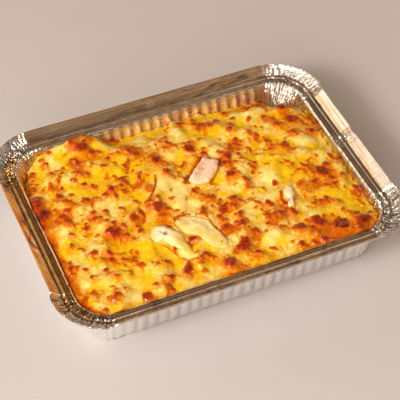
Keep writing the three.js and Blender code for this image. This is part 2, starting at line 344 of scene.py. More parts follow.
class EffectLibrary:
    """Builds each shared node group once."""

    def __init__(self) -> None:
        """Starts with no group made."""
        self.made: dict[SharedEffect, Tree] = {}

    def place(self, pad: NodePad, effect: SharedEffect, **values: float) -> Socket:
        """Places a group in a material and gives its mask.

        Args:
            pad: The material's nodes.
            effect: Which effect.
            values: The group's inputs by name.

        Returns:
            The group's first output.
        """
        if effect not in self.made:
            makers = {SharedEffect.MOTTLE: self._mottle, SharedEffect.FINE_RELIEF: self._fine_relief}
            self.made[effect] = makers[effect]()
        return pad.add("ShaderNodeGroup", values, node_tree=self.made[effect]).outputs[0]

    @staticmethod
    def _open_group(effect: SharedEffect, inputs: dict[str, float]) -> tuple[NodePad, Node, Node, Socket]:
        """An empty group with float inputs and one float output named Mask.

        Args:
            effect: Which effect the group is for.
            inputs: The group's inputs and the values they start with.

        Returns:
            The group's nodes, its input and output nodes, and the place on the object.
        """
        tree = bpy.data.node_groups.new(effect.value, "ShaderNodeTree")
        for name, value in inputs.items():
            socket = tree.interface.new_socket(name, in_out="INPUT", socket_type="NodeSocketFloat")
            socket.default_value = value
        tree.interface.new_socket("Mask", in_out="OUTPUT", socket_type="NodeSocketFloat")
        pad = NodePad(tree)
        given, result = pad.add("NodeGroupInput"), pad.add("NodeGroupOutput")
        return pad, given, result, pad.add("ShaderNodeTexCoord").outputs["Object"]

    def _mottle(self) -> Tree:
        """Soft blotches on two scales, spread over 0 to 1."""
        inputs = {"Scale": 100.0, "Contrast": 0.5}
        pad, given, result, where = self._open_group(SharedEffect.MOTTLE, inputs)
        broad = pad.noise(given.outputs["Scale"], 3.0, where, Distortion=0.6)
        finer = pad.math("MULTIPLY", given.outputs["Scale"], 3.7)
        small = pad.noise(finer, 2.0, where)
        both = pad.math("ADD", pad.math("MULTIPLY", broad, 0.65), pad.math("MULTIPLY", small, 0.35))
        low = pad.math("MULTIPLY_ADD", given.outputs["Contrast"], 0.42, 0.02)
        high = pad.math("SUBTRACT", 1.0, low)
        pad.feed(result.inputs[0], pad.spread(both, (low, high)))
        return pad.tree

    def _fine_relief(self) -> Tree:
        """Small uneven height: fine grain over slightly larger bumps."""
        inputs = {"Scale": 500.0, "Grain": 0.4}
        pad, given, result, where = self._open_group(SharedEffect.FINE_RELIEF, inputs)
        bumps = pad.noise(given.outputs["Scale"], 3.0, where)
        grain = pad.noise(pad.math("MULTIPLY", given.outputs["Scale"], 4.1), 2.0, where)
        pad.feed(result.inputs[0], pad.math("MULTIPLY_ADD", grain, given.outputs["Grain"], bumps))
        return pad.tree


# --- Finishes -----------------------------------------------------------------------------------------


class Finish:
    """What a surface is made of."""

    name: str

    def make(self, effects: EffectLibrary) -> Material:
        """Builds the material."""
        material = bpy.data.materials.new(self.name)
        material.use_nodes = True
        pad = NodePad(material.node_tree)
        pad.fill(material.node_tree.nodes["Principled BSDF"], self.sockets(pad, effects))
        return material

    def sockets(self, pad: NodePad, effects: EffectLibrary) -> dict[str, object]:
        """The Principled BSDF's inputs.

        Args:
            pad: The material's nodes.
            effects: The shared effects.

        Returns:
            Plain values and sockets by input name.
        """
        raise NotImplementedError


@dataclass(frozen=True)
class FoilFinish(Finish):
    """Thin pressed aluminium: lines drawn along the rim, creases across it, dark brown that is partly
    baked-on grime and partly painted shade, golden that is partly baked fat and partly painted reflection,
    and pale that is partly dried cheese and partly painted sheen.
    """

    name: str = "foil"
    metal: Colour = (0.94, 0.92, 0.89)
    stain_and_shade: Colour = (0.050, 0.026, 0.011)
    fat_and_reflection_gold: Colour = (0.80, 0.44, 0.11)
    cheese_and_sheen_glaze: Colour = (0.90, 0.64, 0.22)
    roughness: Span = (0.10, 0.24)
    line_depth: float = 0.00012
    band_share: float = 4.5
    crease_depth: float = 0.0011
    line_waves: Span = (0.012, 1.3)
    band_waves: Span = (0.009, 0.42)
    crease_waves: Span = (0.62, 0.11)

    def sockets(self, pad: NodePad, effects: EffectLibrary) -> dict[str, object]:
        """Bare metal, with marks where the mesh says so: dark brown partly painted shade, golden partly
        painted reflection, pale partly painted sheen.
        """
        smudge = effects.place(pad, SharedEffect.MOTTLE, Scale=70.0, Contrast=0.6)
        grime_and_shade_film = pad.math("MULTIPLY", pad.value_of("grime_and_shade_film"), pad.spread(smudge, (0.1, 0.9), (0.55, 1.0)))
        cheese_and_sheen_glaze = pad.math("MULTIPLY", pad.value_of("cheese_and_sheen_glaze"), pad.spread(smudge, (0.1, 0.9), (0.5, 1.0)))
        # Golden is partly baked fat and partly painted reflection; pale is partly dried cheese and partly
        # painted sheen.
        colour = pad.mix(cheese_and_sheen_glaze, pad.mix(pad.value_of("fat_and_reflection_tint"), self.metal, self.fat_and_reflection_gold), self.cheese_and_sheen_glaze)
        bare = pad.math("MULTIPLY_ADD", cheese_and_sheen_glaze, -0.75, pad.spread(grime_and_shade_film, (0.2, 1.0), (1.0, 0.75)))
        place = (pad.value_of("run"), pad.value_of("span"))
        waves = (self.line_waves, self.band_waves, self.crease_waves)
        lines, bands, creases = (self._streaks(pad, place, each) for each in waves)
        crumple = effects.place(pad, SharedEffect.FINE_RELIEF, Scale=620.0, Grain=0.25)
        lines = pad.math("MULTIPLY_ADD", bands, self.band_share, lines)
        height = pad.math("MULTIPLY", pad.math("MULTIPLY_ADD", crumple, 0.7, creases), pad.value_of("crease"))
        lined = pad.bump(lines, 0.6, self.line_depth)
        return {
            # Dark brown: partly baked-on grime, partly painted shade in the grooves and pleat valleys.
            "Base Color": pad.mix(grime_and_shade_film, colour, self.stain_and_shade),
            "Metallic": pad.math("MAXIMUM", bare, 0.0),
            "Roughness": pad.spread(smudge, (0.0, 1.0), self.roughness),
            "Normal": pad.bump(height, 0.8, self.crease_depth, Normal=lined),
        }

    @staticmethod
    def _streaks(pad: NodePad, place: tuple[Socket, Socket], waves: Span) -> Socket:
        """Noise with this many waves to each millimetre along and across the rim."""
        run, span = (pad.math("MULTIPLY", part, share) for part, share in zip(place, waves))
        return pad.noise(1.0, 2.0, pad.add("ShaderNodeCombineXYZ", {"X": run, "Y": span}).outputs[0])


@dataclass(frozen=True)
class CheeseFinish(Finish):
    """Melted cheese, cream and oily yellow, browned in blisters, with a few flecks of herb."""

    name: str = "cheese_crust"
    cream: Colour = (0.86, 0.665, 0.20)
    yellow: Colour = (0.84, 0.485, 0.004)
    toast: tuple[tuple[float, Colour], ...] = (
        (0.0, (0.84, 0.49, 0.01)),
        (0.16, (0.79, 0.33, 0.002)),
        (0.34, (0.62, 0.148, 0.0005)),
        (0.60, (0.44, 0.050, 0.0005)),
        (0.84, (0.25, 0.018, 0.0005)),
        (1.0, (0.13, 0.007, 0.0005)),
    )
    herb: Colour = (0.035, 0.028, 0.006)

    def sockets(self, pad: NodePad, effects: EffectLibrary) -> dict[str, object]:
        """Oil and browning as the mesh says, each with its own mottle."""
        mottle = effects.place(pad, SharedEffect.MOTTLE, Scale=330.0, Contrast=0.75)
        shift = pad.math("SUBTRACT", mottle, 0.5)
        oil = pad.math("MULTIPLY_ADD", shift, 0.5, pad.value_of("oil"))
        brown = pad.math("MULTIPLY_ADD", shift, 0.12, pad.value_of("brown"))
        base = pad.mix(pad.spread(oil, (0.0, 1.0)), self.cream, self.yellow)
        browned = pad.mix(pad.spread(brown, (0.03, 0.3)), base, pad.ramp(brown, self.toast))
        relief = effects.place(pad, SharedEffect.FINE_RELIEF, Scale=620.0, Grain=0.3)
        return {
            "Base Color": pad.mix(self._flecks(pad), browned, self.herb),
            "Roughness": pad.spread(oil, (0.0, 1.0), (0.42, 0.24)),
            "Coat Weight": pad.spread(brown, (0.2, 0.7), (0.15, 0.6)),
            "Coat Roughness": 0.09,
            "Specular IOR Level": 0.08,
            "Subsurface Weight": 0.35,
            "Subsurface Radius": (1.0, 0.5, 0.12),
            "Subsurface Scale": 0.003,
            "Normal": pad.bump(relief, 0.4, 0.0002),
        }

    @staticmethod
    def _flecks(pad: NodePad) -> Socket:
        """A mask of small dots, in the few cells that are chosen for one."""
        where = pad.add("ShaderNodeTexCoord").outputs["Object"]
        cells = pad.add("ShaderNodeTexVoronoi", {"Vector": where, "Scale": 105.0, "Randomness": 1.0})
        red = pad.add("ShaderNodeSeparateColor", {"Color": cells.outputs["Color"]}).outputs[0]
        dot = pad.spread(cells.outputs["Distance"], (0.045, 0.075), (1.0, 0.0))
        return pad.math("MULTIPLY", pad.math("GREATER_THAN", red, 0.93), dot)


@dataclass(frozen=True)
class ChickenFinish(Finish):
    """Cooked chicken breast, white to cream with pink, tan and cheesy parts, painted shade in some valleys
    and holes, fibres and a moist sheen.
    """

    name: str
    pale: Colour
    warm: Colour
    pink: Colour = (0.72, 0.38, 0.24)
    tan: Colour = (0.30, 0.10, 0.03)
    cheese: Colour = (0.86, 0.50, 0.06)

    def sockets(self, pad: NodePad, effects: EffectLibrary) -> dict[str, object]:
        """Pale meat with each kind of spot, real colour or painted shade, laid over it in turn."""
        mottle = effects.place(pad, SharedEffect.MOTTLE, Scale=230.0, Contrast=0.5)
        fibre = pad.value_of("fibre")
        share = pad.math("MULTIPLY_ADD", fibre, 0.5, pad.math("MULTIPLY", mottle, 0.5))
        colour = pad.mix(share, self.pale, self.warm)
        uneven = pad.spread(mottle, (0.0, 1.0), (0.75, 1.1))
        stains = {StainKind.PINK: self.pink, StainKind.CHEESE: self.cheese, StainKind.TAN: self.tan}
        for kind, stain_and_shade in stains.items():
            amount = pad.math("MULTIPLY", pad.value_of(kind.value), uneven)
            colour = pad.mix(pad.math("MINIMUM", amount, 1.0), colour, stain_and_shade)
        relief = effects.place(pad, SharedEffect.FINE_RELIEF, Scale=800.0, Grain=0.35)
        return {
            "Base Color": colour,
            "Roughness": pad.spread(mottle, (0.0, 1.0), (0.34, 0.5)),
            "Subsurface Weight": 0.35,
            "Subsurface Radius": (1.0, 0.45, 0.25),
            "Subsurface Scale": 0.003,
            "Coat Weight": 0.2,
            "Coat Roughness": 0.2,
            "Normal": pad.bump(pad.math("MULTIPLY_ADD", fibre, 0.25, relief), 0.6, 0.0004),
        }


@dataclass(frozen=True)
class FloorFinish(Finish):
    """A pale, slightly warm tabletop."""

    name: str = "pale_floor"
    colour: Colour = (0.565, 0.525, 0.525)

    def sockets(self, pad: NodePad, effects: EffectLibrary) -> dict[str, object]:
        """One plain colour, faintly clouded."""
        cloud = effects.place(pad, SharedEffect.MOTTLE, Scale=9.0, Contrast=0.2)
        pale = tuple(min(1.0, 1.03 * part) for part in self.colour)
        return {"Base Color": pad.mix(cloud, self.colour, pale), "Roughness": 0.6}


# --- Foil tray ----------------------------------------------------------------------------------------


@dataclass(frozen=True)
class EdgePlace:
    """Where points lie against the opening: out from its edge, the outward normal and the flute's wave."""

    out: Array
    normal_x: Array
    normal_y: Array
    wave: Array


@dataclass(frozen=True)
class Opening:
    """The inner edge of the tray's ledge, a rectangle with round corners, and the flutes of its wall."""

    half_length: float = 117.0
    half_width: float = 85.0
    corner: float = 23.0
    flutes_long: int = 23
    flutes_wide: int = 15
    flutes_corner: int = 6

    def side_wave(self, along: Array, half: float, flutes: int) -> Array:
        """The flutes' wave along one straight side."""
        return np.cos(math.pi * ((along / half + 1.0) * flutes - 0.5))

    def corner_wave(self, share: Array) -> Array:
        """The flutes' wave round one corner, from 0 at its start to 1 at its end."""
        return np.cos(math.pi * (2.0 * self.flutes_corner * share - 0.5))

    def locate(self, x: Array, y: Array) -> EdgePlace:
        """Places points against the nearest part of the edge."""
        run_x, run_y = self.half_length - self.corner, self.half_width - self.corner
        past_x, past_y = np.abs(x) - run_x, np.abs(y) - run_y
        in_corner = (past_x > 0) & (past_y > 0)
        reach = np.maximum(np.hypot(past_x, past_y), 1e-9)
        on_end = past_x > past_y
        out = np.where(in_corner, reach, np.maximum(past_x, past_y)) - self.corner
        normal_x = np.sign(x) * np.where(in_corner, past_x / reach, on_end.astype(float))
        normal_y = np.sign(y) * np.where(in_corner, past_y / reach, (~on_end).astype(float))
        end_wave = self.side_wave(np.sign(x) * y, run_y, self.flutes_wide)
        long_wave = self.side_wave(-np.sign(y) * x, run_x, self.flutes_long)
        turn = np.arctan2(normal_y, normal_x) / (math.pi / 2.0)
        round_wave = self.corner_wave(turn - np.floor(turn))
        wave = np.where(in_corner, round_wave, np.where(on_end, end_wave, long_wave))
        return EdgePlace(out, normal_x, normal_y, wave)


@dataclass(frozen=True)
class TrayWall:
    """The sloping fluted wall, shared by the tray and the food against it."""

    foot_inset: float = 6.75
    foot_height: float = 2.6
    ledge_height: float = 38.0
    lip_inset: float = 2.0
    lip_depth: float = 3.4
    flute_depth: float = 0.85
    arch_top: float = 35.0
    arch_rise: float = 2.6
    corner_roll: float = 6.0
    back_roll: float = 1.25
    front_roll: float = 0.25
    roll_top: float = 21.0

    def out_at(self, z: Array) -> Array:
        """How far out the wall's inner face is at a height."""
        lip_start = self.ledge_height - self.lip_depth
        share = np.clip((z - self.foot_height) / (lip_start - self.foot_height), 0.0, 1.0)
        curl = np.clip((z - lip_start) / self.lip_depth, 0.0, 1.0)
        return -self.foot_inset + (self.foot_inset - self.lip_inset) * share + self.lip_inset * curl**2

    @staticmethod
    def groove(at: "EdgePlace | Stations") -> Array:
        """How deep in a groove each place is, from 0 on a rib to 1."""
        return np.sqrt(np.clip(0.5 - 0.5 * at.wave, 0.0, 1.0))

    def arch_at(self, groove: Array) -> Array:
        """The height where the ribs end: each is arched at its top."""
        return self.arch_top - self.arch_rise * groove**2

    def flute_at(self, z: Array, at: "EdgePlace | Stations") -> Array:
        """How far the flutes push the wall out: rounded ribs with narrow grooves."""
        groove = self.groove(at)
        limit = self.arch_at(groove)
        fade = 1.0 - smoothstep(z, limit - 0.9, limit + 0.3)
        return self.flute_depth * (1.0 - 1.9 * groove) * fade * smoothstep(z, 0.3, self.foot_height)

    def roll_at(self, z: Array, at: "EdgePlace | Stations") -> Array:
        """How much further in the wall stands at the corners, where it opens out wider at the top."""
        share = smoothstep(np.minimum(np.abs(at.normal_x), np.abs(at.normal_y)), 0.0, 0.35)
        turned = share * np.where(at.normal_y > 0.0, self.back_roll, self.front_roll)
        opened = np.clip((z - self.roll_top) / (self.ledge_height - self.roll_top), 0.0, 1.0)
        return -self.corner_roll * turned * smoothstep(z, 2.0, 20.0) * (1.0 - opened)

    def reach_at(self, z: Array, at: "EdgePlace | Stations") -> Array:
        """How far out the wall's inner face is with its flutes and at its corners."""
        return self.out_at(z) + self.flute_at(z, at) + self.roll_at(z, at)


@dataclass(frozen=True)
class Stations:
    """Places round the opening with their normals, and the run of the edge up to each."""

    x: Array
    y: Array
    normal_x: Array
    normal_y: Array
    wave: Array
    run: Array


@dataclass(frozen=True)
class Dent:
    """A dent in the flange: where along which side, how long, how deep, how far up and how slanted."""

    side: tuple[int, int]
    along: float
    reach: float
    depth: float
    level: float
    spread: float = 0.35
    slant: float = 0.0


RIGHT, LEFT, BACK, FRONT = (1, 0), (-1, 0), (0, 1), (0, -1)
DENTS = (
    Dent(RIGHT, 3.4, 4.5, -1.2, 0.8, 0.6),
    Dent(RIGHT, 7.5, 2.0, 0.9, 0.35),
    Dent(RIGHT, 2.0, 1.6, -1.0, 0.3),
    Dent(LEFT, 9.0, 6.0, -1.3, 0.5),
    Dent(LEFT, -3.0, 3.5, 0.8, 0.45),
    Dent(LEFT, -12.0, 2.2, -0.9, 0.4),
    Dent(BACK, 88.0, 10.0, -1.6, 0.42),
    Dent(BACK, 3.0, 2.2, 0.8, 0.35),
    Dent(BACK, 51.0, 9.0, 0.9, 0.55, 0.13, 0.028),
    Dent(BACK, 52.0, 7.0, -0.5, 0.6),
    Dent(FRONT, 20.0, 12.0, 0.4, 0.7),
)


@dataclass(frozen=True)
class FoilTray:
    """The pressed foil tray: floor, fluted wall, beaded ledge and leaning flange with a rolled hem."""

    opening: Opening
    wall: TrayWall
    finish: FoilFinish
    fill_height: Callable[[Array, Array], Array]
    sheet: float = 0.28
    straight_step: float = 0.8
    corner_step: float = 0.3
    floor_out: float = -12.0
    floor_height: float = 0.3
    recess: float = 0.55
    bead_at: float = 5.4
    bead_half: float = 0.85
    bead_rise: float = 0.42
    crease_out: float = 7.9
    flange_end: Span = (13.9, 44.5)
    flange_bow: float = 0.5
    hem_radius: float = 0.6
    hem_turn: float = 235.0
    panel_half_length: float = 98.0
    panel_half_width: float = 56.0
    corner_approach: float = 16.0
    corner_bulge: float = 1.5
    corner_drop: float = 1.0
    pleat_pitch: float = 2.4
    knot: Span = (4.0, 4.5)
    stained_up_to: float = 37.2
    # Dark lines along the ledge: how far out each lies, its width and its strength.
    dark_ledge_lines: tuple[tuple[float, float, float], ...] = ((1.2, 0.8, 0.8), (3.7, 0.7, 1.0), (7.5, 0.7, 1.0))

    def build(self, effects: EffectLibrary) -> Piece:
        """Makes the tray's piece with its finish."""
        stations = self._stations()
        section = self._section()
        upper = self._sheet_points(section, section, stations)
        on_wall = np.flatnonzero(section[:, 0] < 0.0)
        under_rows = np.unique(np.concatenate([np.arange(0, len(section), 2), on_wall, [len(section) - 1]]))
        lower = self._sheet_points(section, self._underside(section), stations)[under_rows]
        vertices, faces = self._close(upper, lower)
        values = self._surface_values(section, stations)
        under = {key: grid[under_rows] for key, grid in values.items()}
        # The outer face gets painted shade in the grooves of its flutes.
        outer_groove_shade = 0.45 * under["ribs"] * smoothstep(section[under_rows, 1:], 1.5, 5.0)
        clean = {"fat_and_reflection_tint": 0.0 * outer_groove_shade, "cheese_and_sheen_glaze": 0.0 * outer_groove_shade}
        under = {**under, **clean, "grime_and_shade_film": outer_groove_shade, "crease": 0.2 * under["crease"]}
        del values["ribs"]
        at_hubs = np.zeros(2)
        for key, grid in values.items():
            values[key] = np.concatenate([grid.ravel(), under[key].ravel(), at_hubs])
        return mesh_piece("FoilTrayShell", vertices, faces, values, self.finish.make(effects))

    def _stations(self) -> Stations:
        """The stations round the opening, anticlockwise from the +X side."""
        shape = self.opening
        reach = (shape.half_length, shape.half_width)
        columns: list[tuple[float, float, float, float]] = []
        for side in range(4):
            heading = side * math.pi / 2.0
            out = np.array([math.cos(heading), math.sin(heading)])
            along = np.array([-out[1], out[0]])
            half = reach[(side + 1) % 2] - shape.corner
            steps = round(2.0 * half / self.straight_step)
            for place in (np.arange(steps) + 0.5) / steps:
                point = out * reach[side % 2] + along * half * (2.0 * place - 1.0)
                columns.append((*point, *out))
            centre = out * (reach[side % 2] - shape.corner) + along * half
            steps = round(shape.corner * math.pi / 2.0 / self.corner_step)
            for place in (np.arange(steps) + 0.5) / steps:
                angle = heading + place * math.pi / 2.0
                normal = np.array([math.cos(angle), math.sin(angle)])
                columns.append((*(centre + normal * shape.corner), *normal))
        x, y, normal_x, normal_y = np.array(columns).T
        wave = shape.locate(x - 0.01 * normal_x, y - 0.01 * normal_y).wave
        steps_run = np.hypot(np.diff(x, append=x[0]), np.diff(y, append=y[0]))
        return Stations(x, y, normal_x, normal_y, wave, np.cumsum(steps_run))

    def _section(self) -> Array:
        """The upper face of the tray's section, from the floor out to the end of the rolled hem."""
        ledge, level = self.wall.ledge_height, self.floor_height
        foot = (-self.wall.foot_inset, self.wall.foot_height)
        points: list[Span] = [(self.floor_out, level + self.recess)]
        points += [(self.floor_out + 1.2, level + self.recess), (self.floor_out + 1.7, level)]
        points += curve_between((self.floor_out + 2.0, level), (foot[0] - 0.5, level), foot, 5)
        arch_start = (float(self.wall.out_at(np.array(ledge - 8.0))), ledge - 8.0)
        lip_start, lip_end = (-self.wall.lip_inset, ledge - self.wall.lip_depth), (1.2, ledge + 0.05)
        points += line_between(foot, arch_start, 9) + line_between(arch_start, lip_start, 9)
        points += curve_between(lip_start, (-1.0, ledge), lip_end, 9)
        points += line_between(lip_end, (self.bead_at - self.bead_half - 0.2, ledge - 0.2), 4)
        for share in np.linspace(-1.0, 1.0, 9):
            rise = self.bead_rise * (0.5 + 0.5 * math.cos(math.pi * share))
            points.append((self.bead_at + self.bead_half * share, ledge - 0.1 + rise))
        bead_end, low = (self.bead_at + self.bead_half + 0.2, ledge - 0.1), ledge - 0.15
        points += line_between(bead_end, (self.crease_out - 0.5, low), 2)
        flange, crease = np.array(self.flange_end), np.array([self.crease_out, low])
        lean = (flange - crease) / np.linalg.norm(flange - crease)
        outward = np.array([lean[1], -lean[0]])
        start = crease + 0.7 * lean
        points += curve_between((self.crease_out - 0.4, low), tuple(crease), tuple(start), 4)
        bend = 0.5 * (start + flange) + self.flange_bow * outward
        points += curve_between(tuple(start), tuple(bend), tuple(flange), 9)
        middle = flange + self.hem_radius * outward
        begin = math.atan2(*(flange - middle)[::-1])
        for share in np.linspace(0.08, 1.0, 9):
            angle = begin - math.radians(self.hem_turn) * share
            points.append(tuple(middle + self.hem_radius * np.array([math.cos(angle), math.sin(angle)])))
        return np.array(points)

    def _underside(self, section: Array) -> Array:
        """The lower face of the section, one sheet's thickness from the upper."""
        along = np.gradient(section, axis=0)
        along /= np.maximum(np.linalg.norm(along, axis=1, keepdims=True), 1e-9)
        return section + self.sheet * np.stack([along[:, 1], -along[:, 0]], axis=1)

    def _sheet_points(self, section: Array, face: Array, at: Stations) -> Array:
        """One face of the sheet as rows of points.

        Args:
            section: The section's upper face, which the waves and dents are worked out from.
            face: The section's face that is being laid out.
            at: The stations round the opening.

        Returns:
            Points with one row for each point of the section.
        """
        push, lift = self._unevenness(section, at)
        out = face[:, :1] + push
        points = np.stack([at.x + at.normal_x * out, at.y + at.normal_y * out, face[:, 1:] + lift], axis=-1)
        points[..., 2] = np.maximum(points[..., 2], 0.0)
        return points

    def _past_panel(self, at: Stations) -> Array:
        """How far each station is past the end of its straight panel."""
        on_long = np.abs(at.normal_y) > np.abs(at.normal_x)
        return np.where(on_long, np.abs(at.x) - self.panel_half_length, np.abs(at.y) - self.panel_half_width)

    def _crimp(self, at: Stations, reach: float) -> Array:
        """Where the rim is gathered in pleats: round the corners, and where the right side was knocked."""
        knock = np.exp(-(((at.y - self.knot[0]) / self.knot[1]) ** 4)) * (at.normal_x > 0.99)
        return np.maximum(smoothstep(self._past_panel(at), -reach, reach), knock)

    def _flange_share(self, section: Array) -> Array:
        """How far up the flange each row of the section is, from 0 to 1."""
        rise = self.flange_end[0] - self.crease_out
        return np.clip((section[:, :1] - self.crease_out + 0.3) / rise, 0.0, 1.1)

    def _unevenness(self, section: Array, at: Stations) -> tuple[Array, Array]:
        """How far each point is pushed out and lifted.

        Args:
            section: The section's upper face, one row for each of its points.
            at: The stations round the opening, one for each column.

        Returns:
            The push and the lift that flutes, pleats, dents and handling add up to.
        """
        out, z, run = section[:, :1], section[:, 1:], at.run
        still = 0.0 * run
        past = self._past_panel(at)
        wall_row, ledge_row = 1.0 - smoothstep(out, -0.2, 1.0), smoothstep(out, -0.6, 1.4)
        flange_row = self._flange_share(section)
        crimp, pleat = self._crimp(at, 0.8), self._pleats(run, out)
        uneven = 0.85 + 0.3 * gradient_noise(run / 13.0, still, 3)
        push = self.wall.flute_at(z, at) * wall_row * uneven + self.wall.roll_at(z, at)
        push = push + 0.3 * bell(out, -0.2, 1.3) * gradient_noise(run / 3.7, still, 47)
        push = push + wall_row * self._give(z, at)
        held = 1.0 - 0.75 * smoothstep(flange_row, 0.8, 1.0)
        bulge = self.corner_bulge * smoothstep(past, -0.8, 4.0)
        push = push + flange_row * (bulge + 0.8 * crimp * held * pleat)
        waver = 0.10 * gradient_noise(run / 11.0, out / 9.0, 37)
        slack = 0.32 * gradient_noise(run / 42.0, still, 31) + waver
        push = push + (1.0 - crimp) * flange_row * slack
        lift = -smoothstep(past, -1.5, 3.5) * flange_row * self.corner_drop
        crumpled = 0.8 * pleat + 0.6 * gradient_noise(run / 1.4, out / 1.6, 19)
        lift = lift + crimp * ledge_row * held * crumpled
        lift = lift + (1.0 - crimp) * ledge_row * self._ledge_ripple(at, out)
        lift = lift - 0.35 * bell(past, 0.0, 0.8) * smoothstep(flange_row, 0.5, 1.0)
        return push + self._dents(at, flange_row), lift

    def _give(self, z: Array, at: Stations) -> Array:
        """How far the thin wall sags and folds: in only above the food, which holds it up."""
        sag = 0.4 * smoothstep(z, 3.0, 20.0) * layered_noise(at.run / 34.0, z / 26.0, 1.0, 2, 7)
        pleats = self._pleats(0.85 * at.run + 0.2 * (z - 38.0), 0.2 * z)
        fold = 0.8 * self._near_corner(at) * smoothstep(z, 8.0, 30.0) * pleats
        fill = self.fill_height(at.x[None, :] - 3.0 * at.normal_x, at.y[None, :] - 3.0 * at.normal_y)
        free = smoothstep(z, fill + 1.0, fill + 4.0)
        return sum(np.maximum(part, 0.0) + free * np.minimum(part, 0.0) for part in (sag, fold))

    def _near_corner(self, at: Stations) -> Array:
        """A rise from 0 to 1 towards the end of each straight panel."""
        return smoothstep(self._past_panel(at), -self.corner_approach, 0.0)

    @staticmethod
    def _ledge_ripple(at: Stations, out: Array) -> Array:
        """Small waves across the ledge: strongest on the left side, where the tray has been held."""
        strength = np.where(at.normal_x < -0.99, 0.16, 0.05)
        fine = gradient_noise(at.run / 1.7, out / 3.5, 23)
        return strength * fine + 0.07 * gradient_noise(at.run / 9.0, out / 3.0, 29)

    def _pleats(self, run: Array, out: Array) -> Array:
        """Uneven pleats along the edge, round with sharp folds between, from about -1 to 1."""
        phase = run / self.pleat_pitch + 0.8 * gradient_noise(run / 5.0, 0.12 * out, 41)
        folded = 2.0 * np.abs(np.cos(math.pi * phase)) - 1.0
        return folded * (0.85 + 0.9 * gradient_noise(run / 4.0, 0.1 * out, 43))

    @staticmethod
    def _dents(at: Stations, flange_row: Array) -> Array:
        """How far handling has knocked the flange in or out."""
        push = 0.0 * flange_row * at.x
        for dent in DENTS:
            facing = (at.normal_x * dent.side[0] + at.normal_y * dent.side[1]) > 0.99
            along = at.x if dent.side[1] else at.y
            shape = dent.depth * facing * bell(along, dent.along, dent.reach)
            level = dent.level + dent.slant * (along - dent.along)
            push = push + shape * bell(flange_row, level, dent.spread)
        return push * smoothstep(flange_row, 0.0, 0.25)

    def _surface_values(self, section: Array, at: Stations) -> dict[str, Array]:
        """Named values over the upper face.

        Args:
            section: The section's upper face, one row for each of its points.
            at: The stations round the opening, one for each column.

        Returns:
            Place along and across the rim, creasing, dark brown that is partly baked-on grime and partly
            painted shade, the painted shade of the ribs' grooves on its own, golden that is partly baked fat
            and partly painted reflection, and pale that is partly dried cheese and partly painted sheen.
        """
        out, z = section[:, :1], section[:, 1:]
        run = at.run + 0.0 * out
        steps = np.hypot(*np.diff(section, axis=0, prepend=section[:1]).T)
        on_wall = 1.0 - smoothstep(out, -0.4, 0.6)
        near_corner = self._near_corner(at)
        crease = self._crimp(at, 0.5) * (1.0 - on_wall) + on_wall * (0.06 + 0.5 * near_corner)
        # Painted shade in the grooves between the ribs, and darker brown above their arches.
        ribs = self._rib_shade_and_arch_darkening(z, at) * on_wall * (1.0 - near_corner)
        fat_and_reflection_tint, cheese_and_sheen_glaze = self._fat_reflection_and_sheen_tints(out, z, at)
        return {
            "run": run,
            "span": np.cumsum(steps)[:, None] + 0.0 * run,
            "crease": np.clip(crease, 0.0, 1.0),
            "grime_and_shade_film": np.clip(self._grime_and_shade_film(out, z, at, on_wall) + ribs, 0.0, 1.0),
            "ribs": ribs,
            "fat_and_reflection_tint": fat_and_reflection_tint,
            "cheese_and_sheen_glaze": cheese_and_sheen_glaze,
        }

    def _rib_shade_and_arch_darkening(self, z: Array, at: Stations) -> Array:
        """Painted shade in the wall's grooves, and darker brown over the arches of its ribs."""
        groove = self.wall.groove(at)
        limit = self.wall.arch_at(groove)
        below_arch = 1.0 - smoothstep(z, limit - 0.8, limit + 0.2)
        over_arch = (1.0 - below_arch) * (z < self.stained_up_to)
        return 0.7 * smoothstep(groove, 0.80, 0.99) * below_arch + 0.4 * over_arch

    def _grime_and_shade_film(self, out: Array, z: Array, at: Stations, on_wall: Array) -> Array:
        """Dark brown on the foil: a line at the front lip, lines and patches along the ledge, darker along
        the front and left ledges, streaks on the back corners' walls, painted shade in the valleys of the
        corners' pleats, a darker wash over the corners except the back-right, and specks.
        """
        run = at.run + 0.0 * out
        patchy = 0.5 + 0.5 * layered_noise(run, 0.0 * run + out, 12.0, 3, 53)
        front = self._front(at)
        lip = 0.9 * front * bell(out, 0.3, 0.6) * (z > 30.0)
        ledge = sum(amount * bell(out, at_out, wide) for at_out, wide, amount in self.dark_ledge_lines)
        # Darker along the front and left ledges.
        front_and_left_darkening = 0.26 * smoothstep(-at.normal_x, 0.5, 0.95) + 0.35 * front
        patches = 0.3 * smoothstep(patchy, 0.5, 0.75) + front_and_left_darkening * patchy
        grime = smoothstep(out, 0.0, 1.0) * (out < 8.0) * patches
        at_back = on_wall * self._near_corner(at) * (at.normal_y > -0.2) * (z < 37.0)
        fold_share = 0.45 + 0.4 * (at.normal_x > 0.0)
        folds = fold_share * at_back * smoothstep(gradient_noise(run / 1.7, z / 30.0, 59), -0.1, 0.3)
        in_corner = smoothstep(self._past_panel(at), -0.8, 2.5) * smoothstep(out, 0.0, 1.0)
        bright = smoothstep(at.normal_x + at.normal_y, 0.9, 1.1)
        # Painted shade in the valleys of the pleats.
        valley_shade = smoothstep(-self._pleats(run, out), -0.3, 0.7)
        soiled = (0.12 + 0.2 * patchy) * (1.0 + 1.3 * smoothstep(out, 7.0, 9.0))
        crimp_shade_and_grime = in_corner * (0.55 * valley_shade + soiled * (1.0 - bright))
        speckled = smoothstep(gradient_noise(run / 1.3, out / 1.1, 60), 0.45, 0.7)
        specks = 0.4 * (out > 1.5) * (out < 7.0) * speckled
        return lip + ledge * (0.6 + 0.7 * patchy) + grime + folds + crimp_shade_and_grime + specks

    @staticmethod
    def _front(at: Stations) -> Array:
        """How squarely each station faces the front."""
        return smoothstep(-at.normal_y, 0.3, 0.9)

